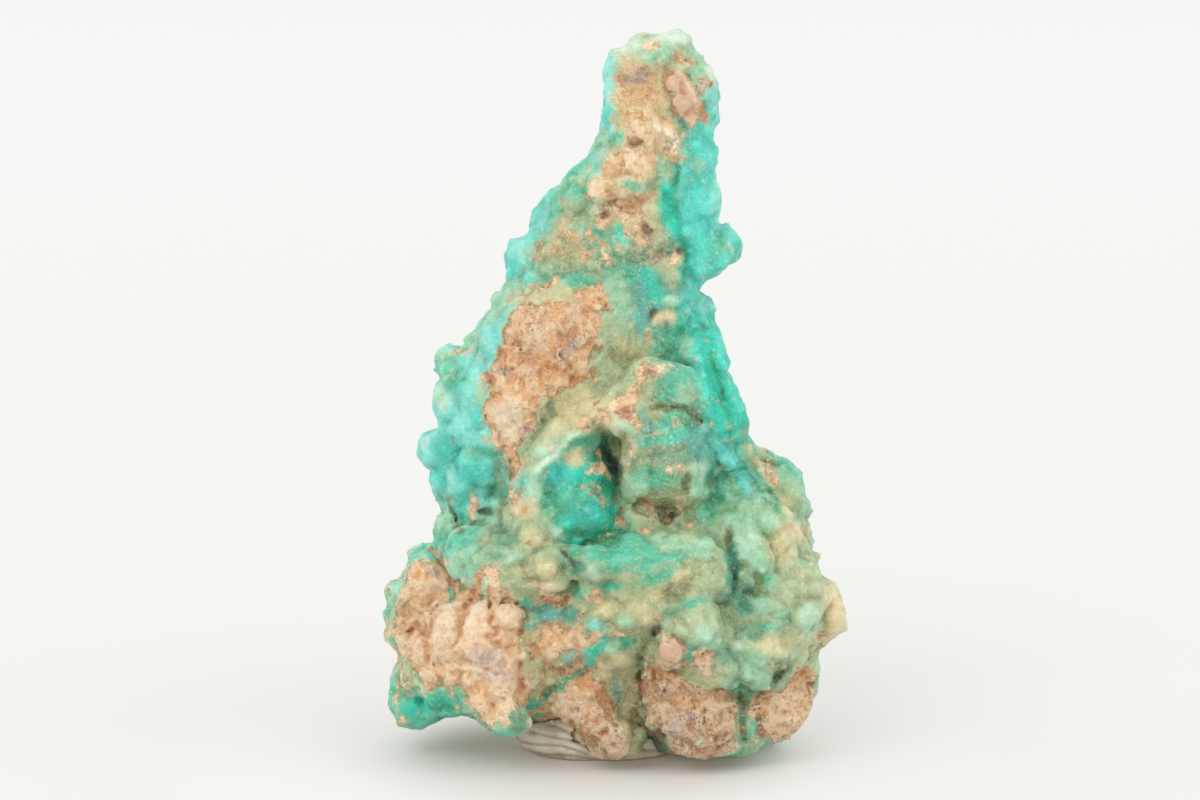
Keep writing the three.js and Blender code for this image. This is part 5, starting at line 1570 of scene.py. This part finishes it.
def meshObject(name, points, faces):
    mesh = bpy.data.meshes.new(name)
    mesh.vertices.add(len(points))
    mesh.vertices.foreach_set("co", (points * mm).astype(np.float32).ravel())
    sides = faces.shape[1]
    mesh.loops.add(faces.size)
    mesh.loops.foreach_set("vertex_index", faces.astype(np.int32).ravel())
    mesh.polygons.add(len(faces))
    mesh.polygons.foreach_set("loop_start", np.arange(0, faces.size, sides, dtype=np.int32))
    mesh.update(calc_edges=True)
    mesh.validate()
    piece = bpy.data.objects.new(name, mesh)
    bpy.context.scene.collection.objects.link(piece)
    return piece


def keepLargest(points, quads):
    # the one body, without any crumb the carving has left loose
    parent = np.arange(len(points))
    pairs = np.concatenate([quads[:, [0, 1]], quads[:, [1, 2]], quads[:, [2, 3]]])
    while True:
        low = np.minimum(parent[pairs[:, 0]], parent[pairs[:, 1]])
        before = parent.copy()
        np.minimum.at(parent, pairs[:, 0], low)
        np.minimum.at(parent, pairs[:, 1], low)
        parent = parent[parent]
        if np.array_equal(parent, before):
            break
    names, sizes = np.unique(parent, return_counts=True)
    keep = parent == names[np.argmax(sizes)]
    place = np.cumsum(keep) - 1
    print(len(names) - 1, "loose crumbs dropped")
    return points[keep], place[quads[keep[quads[:, 0]]]]


def meshPoints(mesh):
    points = np.empty(len(mesh.vertices) * 3, np.float32)
    mesh.vertices.foreach_get("co", points)
    return points.reshape(-1, 3).astype(float) / mm


def thin(piece, most):
    # fewer triangles, where the surface is flattest
    mesh = piece.data
    mesh.calc_loop_triangles()
    ratio = most / len(mesh.loop_triangles)
    print(len(mesh.loop_triangles), "triangles before thinning")
    if ratio < 1:
        modifier = piece.modifiers.new("thin", "DECIMATE")
        modifier.ratio = ratio
        modifier.use_collapse_triangulate = True
        graph = bpy.context.evaluated_depsgraph_get()
        applied = bpy.data.meshes.new_from_object(piece.evaluated_get(graph))
        piece.modifiers.clear()
        piece.data = applied
        bpy.data.meshes.remove(mesh)
        applied.name = piece.name


def setValues(mesh, name, values):
    attribute = mesh.attributes.new(name, "FLOAT", "POINT")
    attribute.data.foreach_set("value", values.astype(np.float32))


def setColours(mesh, name, colours):
    attribute = mesh.attributes.new(name, "FLOAT_COLOR", "POINT")
    full = np.concatenate([colours, np.ones((len(colours), 1))], 1)
    attribute.data.foreach_set("color", full.astype(np.float32).ravel())


def makeStone():
    field, paintOf = buildStoneField()
    points, quads = keepLargest(*fieldMesh(field))
    points[:, 2] = np.maximum(points[:, 2], block["floor"])
    piece = meshObject("hemimorphite_specimen", points, quads[:, ::-1])
    thin(piece, block["mostTriangles"])
    mesh = piece.data
    points = meshPoints(mesh)
    paint = paintOf(points)
    setValues(mesh, "rockness", paint[:, 0])
    setColours(mesh, "crustPaint", paint[:, 1:4])
    setColours(mesh, "rockPaint", paint[:, 4:7])
    setValues(mesh, "halo", paint[:, 7])
    setValues(mesh, "grit", paint[:, 8])
    # dip is above nothing in hollows and below it on bulges; the materials paint shade into the dips and
    # highlight onto the bulges
    setValues(mesh, "dip", -sample(blur(field, block["dip"]), points) / block["dip"])
    mesh.shade_smooth()
    return piece, field


def newGroup(name, inputs, outputs):
    group = bpy.data.node_groups.new(name, "ShaderNodeTree")
    for socketName, kind, value in inputs:
        socket = group.interface.new_socket(socketName, in_out="INPUT", socket_type=kind)
        if value is not None:
            socket.default_value = value
    for socketName, kind in outputs:
        group.interface.new_socket(socketName, in_out="OUTPUT", socket_type=kind)
    start = group.nodes.new("NodeGroupInput")
    end = group.nodes.new("NodeGroupOutput")
    return group, start, end


class Wiring:
    # short ways to add nodes to one tree
    def __init__(self, tree):
        self.tree = tree

    def add(self, kind, **settings):
        node = self.tree.nodes.new(kind)
        for key, value in settings.items():
            setattr(node, key, value)
        return node

    def put(self, socket, value):
        if isinstance(value, bpy.types.NodeSocket):
            self.tree.links.new(value, socket)
        else:
            socket.default_value = value

    def fill(self, node, values):
        for key, value in values.items():
            self.put(node.inputs[key], value)
        return node

    def math(self, operation, a, b=0, c=0):
        node = self.add("ShaderNodeMath", operation=operation)
        return self.fill(node, {0: a, 1: b, 2: c}).outputs[0]

    def ramp(self, value, low, high, start=0, end=1):
        node = self.add("ShaderNodeMapRange", interpolation_type="SMOOTHSTEP")
        self.fill(node, {"Value": value, "From Min": low, "From Max": high, "To Min": start, "To Max": end})
        return node.outputs["Result"]

    def ramps(self, *settings):
        # several ramps from 0, added up
        total, *others = [self.ramp(value, low, high, 0, end) for value, low, high, end in settings]
        for other in others:
            total = self.math("ADD", total, other)
        return total

    def mix(self, share, a, b, blend="MIX"):
        node = self.add("ShaderNodeMix", data_type="RGBA", blend_type=blend, clamp_result=False)
        return self.fill(node, {"Factor": share, 6: a, 7: b}).outputs[2]

    def between(self, share, a, b):
        node = self.add("ShaderNodeMix", data_type="FLOAT")
        return self.fill(node, {"Factor": share, 2: a, 3: b}).outputs[0]

    def place(self):
        return self.add("ShaderNodeTexCoord").outputs["Object"]

    def attribute(self, name, out="Fac"):
        return self.add("ShaderNodeAttribute", attribute_name=name).outputs[out]

    def noise(self, place, size, detail, rough=0.5, seed=0):
        if seed:
            shift = self.add("ShaderNodeVectorMath", operation="ADD")
            self.fill(shift, {0: place, 1: (seed * 0.37, seed * 0.53, seed * 0.71)})
            place = shift.outputs[0]
        node = self.add("ShaderNodeTexNoise")
        self.fill(node, {"Vector": place, "Scale": 1 / (size * mm), "Detail": detail, "Roughness": rough})
        return node.outputs["Fac"]

    def cells(self, place, size, out="Distance"):
        node = self.add("ShaderNodeTexVoronoi")
        return self.fill(node, {"Vector": place, "Scale": 1 / (size * mm)}).outputs[out]

    def grains(self, place, size):
        # one value from 0 to 1 for each grain
        parts = self.add("ShaderNodeSeparateColor")
        return self.fill(parts, {"Color": self.cells(place, size, "Color")}).outputs[0]

    def bump(self, height, distance):
        node = self.add("ShaderNodeBump")
        return self.fill(node, {"Height": height, "Distance": distance * mm}).outputs["Normal"]

    def group(self, tree, **inputs):
        return self.fill(self.add("ShaderNodeGroup", node_tree=tree), inputs).outputs


def colourSocket(name):
    return (*toLinear(palette[name]), 1)


def newMaterial(name):
    material = bpy.data.materials.new(name)
    material.use_nodes = True
    return material, Wiring(material.node_tree), material.node_tree.nodes["Principled BSDF"]


colourOutputs = [
    ("Colour", "NodeSocketColor"),
    ("Height", "NodeSocketFloat"),
    ("Roughness", "NodeSocketFloat"),
]


def makeRockEdgeGroup():
    group, start, end = newGroup(
        "rock edge",
        [("Rockness", "NodeSocketFloat", 0)],
        [("Rock", "NodeSocketFloat"), ("Film", "NodeSocketFloat")],
    )
    w = Wiring(group)
    place = w.place()
    broad = w.math("SUBTRACT", w.noise(place, 1.8, 3, 0.6), 0.5)
    fine = w.math("SUBTRACT", w.noise(place, 0.6, 4, 0.8), 0.5)
    mask = w.math("MULTIPLY_ADD", broad, 1.6, start.outputs["Rockness"])
    mask = w.math("MULTIPLY_ADD", fine, 1.7, mask)
    w.fill(end, {"Rock": w.ramp(mask, 0.38, 0.62), "Film": w.ramp(mask, 0.12, 0.5)})
    return group


crustLook = {
    "cloud": 2.6,  # mm across
    "curds": 1,
    "grain": 0.36,
    "crystals": 0.42,
    "film": ("sand", 0.55),  # colour and share, toward the bare rock
    "haze": ("haze", 0.06),
    "flecks": ("tan", 0.5, 0.17),  # colour, mm across, how much more there are round the bare rock
    "specks": ("rust", 0.4, 0.06),
    "roughness": (0.58, 0.34),  # of the dullest and of the brightest crystals
}


def makeCrustColourGroup():
    inputs = [("Paint", "NodeSocketColor", None)]
    inputs += [(name, "NodeSocketFloat", 0) for name in ("Dip", "Film", "Halo")]
    group, start, end = newGroup("crust colour", inputs, colourOutputs)
    w = Wiring(group)
    place = w.place()
    paint, dip, film, halo = [start.outputs[name] for name in ("Paint", "Dip", "Film", "Halo")]
    cloud = w.noise(place, crustLook["cloud"], 4, 0.6)
    curds = w.noise(place, crustLook["curds"], 4, 0.65, seed=3)
    grain = w.noise(place, crustLook["grain"], 3, 0.7)
    crystals = w.grains(place, crustLook["crystals"])
    name, share = crustLook["film"]
    colour = w.mix(w.math("MULTIPLY", film, share), paint, colourSocket(name))
    deeper = w.mix(1, colour, colour, "MULTIPLY")
    name, share = crustLook["haze"]
    paler = w.mix(share, w.mix(1, colour, colour, "SCREEN"), colourSocket(name))
    # darker: at random with the cloud, curds and grain, and in the dips as painted shade
    shade = w.ramps(
        (cloud, 0.5, 0.36, 0.35), (curds, 0.5, 0.36, 0.25), (dip, 0.03, 0.4, 0.3), (grain, 0.48, 0.36, 0.25)
    )
    colour = w.mix(shade, colour, deeper)
    # paler: at random with the noises and the brightest crystals, and on the bulges as painted highlight
    light = w.ramps(
        (cloud, 0.5, 0.66, 0.2),
        (curds, 0.52, 0.66, 0.16),
        (dip, -0.03, -0.4, 0.16),
        (grain, 0.52, 0.66, 0.18),
        (crystals, 0.9, 0.98, 0.25),
    )
    colour = w.mix(light, colour, paler)
    name, size, more = crustLook["flecks"]
    fleck = w.math("MULTIPLY_ADD", halo, more, w.noise(place, size, 5, 0.8, seed=5))
    colour = w.mix(w.ramp(fleck, 0.61, 0.72, 0, 0.6), colour, colourSocket(name))
    name, size, more = crustLook["specks"]
    speck = w.math("MULTIPLY_ADD", halo, more, w.noise(place, size, 3, 0.75, seed=9))
    colour = w.mix(w.ramp(speck, 0.63, 0.69, 0, 0.6), colour, colourSocket(name))
    druse = w.math("MULTIPLY", w.cells(place, crustLook["crystals"]), 0.35)
    w.fill(end, {
        "Colour": colour,
        "Height": w.math("SUBTRACT", grain, druse),
        "Roughness": w.ramp(crystals, 0, 1, *crustLook["roughness"]),
    })
    return group


rockLook = {
    "patches": 1.8,  # mm across
    "clusters": 2.4,
    "crumbs": 0.7,
    "grit": 0.3,
    "sand": 0.5,
    "marks": [  # pattern, where they start, where they are full, how strong, colour
        ("patches", 0.5, 0.64, 0.4, "cream"),
        ("patches", 0.5, 0.38, 0.6, "orange"),
        ("crumbs", 0.52, 0.66, 0.5, "cream"),
        ("crumbs", 0.45, 0.35, 0.4, "rust"),
        # painted shade: a rust tone in the dips
        ("dip", 0.08, 0.6, 0.35, "rust"),
        # painted highlight: cream on the bulges
        ("bulge", -0.04, -0.4, 0.4, "cream"),
        ("sand", 0.72, 0.95, 0.45, "cream"),
        ("sand", 0.2, 0.02, 0.5, "rust"),
    ],
    "dirt": (0.46, 0.38),  # grit at which dark specks start and are full
    "dirtClusters": (0.46, 0.62, 0.15, 0.9),  # clusters at which specks are few and many, and their shares
    "bright": ("grit", 0.55, 0.66, 0.45, "cream"),
    "roughness": (0.95, 0.75),
}


def makeRockColourGroup():
    inputs = [("Paint", "NodeSocketColor", None)]
    inputs += [("Dip", "NodeSocketFloat", 0), ("Grit", "NodeSocketFloat", 0.5)]
    group, start, end = newGroup("rock colour", inputs, colourOutputs)
    w = Wiring(group)
    place = w.place()
    colour, dip, specks = [start.outputs[name] for name in ("Paint", "Dip", "Grit")]
    clusters = w.noise(place, rockLook["clusters"], 3, 0.6, seed=4)
    crumbs = w.noise(place, rockLook["crumbs"], 4, 0.75, seed=2)
    grit = w.noise(place, rockLook["grit"], 3, 0.7)
    pattern = {
        "patches": w.noise(place, rockLook["patches"], 4, 0.7),
        "crumbs": crumbs,
        "dip": dip,
        "bulge": dip,
        "sand": w.grains(place, rockLook["sand"]),
        "grit": grit,
    }
    rough = w.math("MULTIPLY_ADD", specks, 0.8, 0.25)

    def mark(colour, kind, low, high, strength, name):
        # all but the bulges show more where there are more specks
        share = w.ramp(pattern[kind], low, high, 0, strength)
        if kind != "bulge":
            share = w.math("MULTIPLY", share, rough)
        return w.mix(share, colour, colourSocket(name))

    for setting in rockLook["marks"]:
        colour = mark(colour, *setting)
    dirt = w.math("MULTIPLY", w.ramp(grit, *rockLook["dirt"]), w.ramp(clusters, *rockLook["dirtClusters"]))
    colour = w.mix(w.math("MULTIPLY", dirt, specks), colour, colourSocket("dirt"))
    colour = mark(colour, *rockLook["bright"])
    height = w.math("MULTIPLY_ADD", grit, 2.2, w.math("MULTIPLY", crumbs, 3))
    height = w.math("SUBTRACT", height, w.math("MULTIPLY", w.cells(place, rockLook["sand"]), 0.8))
    height = w.math("MULTIPLY", height, rough)
    w.fill(end, {"Colour": colour, "Height": height})
    w.put(end.inputs["Roughness"], w.ramp(grit, 0.3, 0.7, *rockLook["roughness"]))
    return group


finish = {
    "crust": {
        "glow": 0.7,  # share of light that scatters under the surface
        "glowDepth": (0.9, 1.6, 1.5),  # mm
        "bump": 0.2,  # mm
    },
    "rock": {
        "glow": 0.12,
        "glowDepth": (0.6, 0.4, 0.25),
        "bump": 0.28,
    },
    "paintedRimLight": ("aqua", 0.1, 0.35),  # painted rim light: colour, strength and width of the paler edge where the crust turns away
    "rockFrom": 0.5,  # bareness from which a face takes the rock's finish
}


def stoneMaterial(name, groups, look):
    # crust and rock share their colours, so that the two finishes meet unseen
    material, w, shader = newMaterial(name)
    dip = w.attribute("dip")
    edge = w.group(groups["edge"], Rockness=w.attribute("rockness"))
    paint = w.attribute("rockPaint", "Color")
    rock = w.group(groups["rock"], Paint=paint, Dip=dip, Grit=w.attribute("grit"))
    paint = w.attribute("crustPaint", "Color")
    coat = w.group(groups["crust"], Paint=paint, Dip=dip, Halo=w.attribute("halo"), Film=edge["Film"])
    # painted rim light: the crust turns paler toward aqua where it turns away from the viewer
    rimLightColour, strength, wide = finish["paintedRimLight"]
    turned = w.fill(w.add("ShaderNodeLayerWeight"), {"Blend": wide})
    haze = w.math("MULTIPLY", turned.outputs["Facing"], strength)
    crustColour = w.mix(haze, coat["Colour"], colourSocket(rimLightColour))
    share = edge["Rock"]
    height = w.between(share, coat["Height"], rock["Height"])
    w.fill(shader, {
        "Base Color": w.mix(share, crustColour, rock["Colour"]),
        "Roughness": w.between(share, coat["Roughness"], rock["Roughness"]),
        "Normal": w.bump(height, look["bump"]),
        "Subsurface Weight": look["glow"],
        "Subsurface Radius": look["glowDepth"],
        "Subsurface Scale": mm,
    })
    return material


def finishBare(mesh, slot):
    # the faces of bare rock take the material of this number
    bareness = np.empty(len(mesh.vertices), np.float32)
    mesh.attributes["rockness"].data.foreach_get("value", bareness)
    corners = np.empty(len(mesh.loops), np.int32)
    mesh.loops.foreach_get("vertex_index", corners)
    bare = bareness[corners.reshape(len(mesh.polygons), -1)].mean(1) > finish["rockFrom"]
    mesh.polygons.foreach_set("material_index", bare.astype(np.int32) * slot)


stone, stoneField = makeStone()
stoneGroups = {
    "edge": makeRockEdgeGroup(),
    "crust": makeCrustColourGroup(),
    "rock": makeRockColourGroup(),
}
stone.data.materials.append(stoneMaterial("hemimorphite_crust", stoneGroups, finish["crust"]))
stone.data.materials.append(stoneMaterial("bare_rock", stoneGroups, finish["rock"]))
finishBare(stone.data, 1)
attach(stone, "root")
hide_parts(stoneNode)
print("stone:", len(stone.data.polygons), "triangles")

putty = {
    "centre": (-2.2, -1.8, 2.6),
    "halfSizes": (11.6, 9.6, 5.6),
    "under": 5.4,  # half-height below the middle
    "scale": 5.2,  # turns shares of the half-sizes into mm, near the surface
    "squeeze": (6, 0.9),  # mm across, mm out of round
    "dimples": (1.4, 0.06),
    "gap": 0.14,  # mm kept clear of the stone
    "foldWidth": 0.2,
    "foldDepth": 0.22,
    "folds": [  # as the viewer sees them
        [(-13.4, 2.5), (-10.4, 1.9), (-6.8, 1.7), (-3.4, 0.6)],
        [(-12.4, 1.3), (-9, 0.6), (-5.4, 0.4), (-1.4, -0.1)],
        [(-11, 3.6), (-8.2, 2.9), (-5.4, 2.4), (-2.8, 1)],
        [(-8.6, 4.6), (-6.6, 3.8), (-4.8, 2.9), (-3.4, 1.9)],
        [(1.8, 1.7), (4.2, 1.1), (7.6, 1)],
    ],
    "contactShade": (0.2, 0.5),  # mm over the table, where the painted contact shadow along the foot ends
    "mostTriangles": 24000,
    "colour": (226, 215, 196),
    # painted shade in the folds and along the foot, also the darker side of the mottling
    "fold": (124, 108, 88),
    "cloud": (3, 0.5),  # mm across, how strong
    "grain": 0.5,  # mm across
    "bump": 0.08,  # mm
    "roughness": (0.45, 0.65),
}


def makePutty():
    # a pressed lump, narrower underneath, grooved where it has been rolled, hollowed by the stone
    x, y, z = [alongAxis(gridAxes[a], a) - putty["centre"][a] for a in range(3)]
    size, far = putty["squeeze"]
    x = x + softNoise(size, 61) * far
    y = y + softNoise(size, 62) * far
    across, deep, high = putty["halfSizes"]
    form = np.sqrt((x / across) ** 2 + (y / deep) ** 2 + (z / np.where(z < 0, putty["under"], high)) ** 2)
    size, far = putty["dimples"]
    form = (form - 1) * putty["scale"] + softNoise(size, 64) * far
    folds = np.zeros(canvasShape)
    for path in putty["folds"]:
        part, amount = stroke(path, putty["foldWidth"])
        folds[part] = np.maximum(folds[part], amount)
    near = np.nonzero(np.abs(form) < 2)
    groove = readCanvas(folds[..., None], *flat(np.stack(near, 1) * step + lowCorner))[:, 0]
    form[near] += groove * putty["foldDepth"]
    form = np.maximum(form, putty["gap"] - stoneField)
    form = np.maximum(form, alongAxis(block["floor"] - gridAxes[2], 2))
    points, quads = keepLargest(*fieldMesh(form))
    points[:, 2] = np.maximum(points[:, 2], block["floor"])
    piece = meshObject("display_putty_pad", points, quads[:, ::-1])
    thin(piece, putty["mostTriangles"])
    places = meshPoints(piece.data)
    dip = readCanvas(folds[..., None], *flat(places))[:, 0]
    # dip holds the folds and a thin band along the foot, which the material darkens as painted shade
    setValues(piece.data, "dip", np.maximum(dip, 1 - smoothStep(*putty["contactShade"], places[:, 2])))
    piece.data.shade_smooth()
    return piece


def puttyMaterial():
    material, w, shader = newMaterial("display_putty")
    place = w.place()
    size, strength = putty["cloud"]
    cloud = w.noise(place, size, 3)
    grain = w.noise(place, putty["grain"], 3, 0.6)
    light = (*toLinear(putty["colour"]), 1)
    dark = (*toLinear(putty["fold"]), 1)
    colour = w.mix(w.ramp(cloud, 0.45, 0.75, 0, strength), light, dark)
    w.fill(shader, {
        # painted shade in the fold grooves and a painted contact shadow along the foot
        "Base Color": w.mix(w.ramp(w.attribute("dip"), 0.2, 1, 0, 0.6), colour, dark),
        "Roughness": w.ramp(grain, 0.3, 0.7, *putty["roughness"]),
        "Normal": w.bump(grain, putty["bump"]),
    })
    return material


pad = makePutty()
pad.data.materials.append(puttyMaterial())
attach(pad, "root")
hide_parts(puttyNode)
print("putty:", len(pad.data.polygons), "triangles")

room = {
    "centre": (-0.004, -0.01, 0),  # metres, the middle of the zones of the floor
    "sky": (0.905, 0.915, 0.9),
    "floor": [  # metres from the centre, colour, and light from the floor itself that keeps shadows pale
        (0.018, (0.664, 0.677, 0.679), (0.1, 0.07, 0.052)),
        (0.032, (0.56, 0.563, 0.556), (0.294, 0.271, 0.266)),
        (0.06, (0.49, 0.487, 0.474), (0.338, 0.335, 0.331)),
        (1.2, (0.525, 0.525, 0.518), (0.305, 0.303, 0.298)),
        (5, (0.525, 0.525, 0.518), (0.3, 0.298, 0.293)),
        (12, (0.5, 0.51, 0.504), (0.286, 0.289, 0.283)),
    ],
    "floorSize": 30,
    "suns": [  # strength, and the turn from straight down, in degrees
        (0.7, (50, 0, -34)),
        (0.3, (46, 0, 48)),
        (0.3, (80, 0, -10)),
        (0.35, (74, 0, 78)),
        (0.2, (74, 0, -84)),
    ],
    "sunSize": 40,  # degrees across
}


def makeFloorMaterial():
    material, w, shader = newMaterial("floor")
    length = w.fill(w.add("ShaderNodeVectorMath", operation="DISTANCE"), {0: w.place(), 1: room["centre"]})
    start, *zones = room["floor"]
    colour = (*start[1], 1)
    glow = (*start[2], 1)
    for (near, *_), (far, nextColour, nextGlow) in zip(room["floor"], zones):
        share = w.ramp(length.outputs["Value"], near, far)
        colour = w.mix(share, colour, (*nextColour, 1))
        glow = w.mix(share, glow, (*nextGlow, 1))
    w.fill(shader, {
        "Base Color": colour,
        "Emission Color": glow,
        "Emission Strength": 1,
        "Roughness": 0.7,
        "Specular IOR Level": 0,
    })
    return material


def makeRoom():
    world = bpy.data.worlds.new("room")
    bpy.context.scene.world = world
    world.use_nodes = True
    w = Wiring(world.node_tree)
    w.fill(world.node_tree.nodes["Background"], {"Color": (*room["sky"], 1), "Strength": 1})
    bpy.ops.mesh.primitive_plane_add(size=room["floorSize"], location=(0, 0, 0))
    floor = bpy.context.object
    floor.name = "floor"
    floor.data.materials.append(makeFloorMaterial())
    for number, (strength, turn) in enumerate(room["suns"]):
        data = bpy.data.lights.new("sun%d" % number, "SUN")
        data.energy = strength
        data.angle = math.radians(room["sunSize"])
        lamp = bpy.data.objects.new("sun%d" % number, data)
        bpy.context.scene.collection.objects.link(lamp)
        lamp.rotation_euler = [math.radians(t) for t in turn]


makeRoom()
bpy.context.scene.view_settings.view_transform = "Standard"
print("room made")
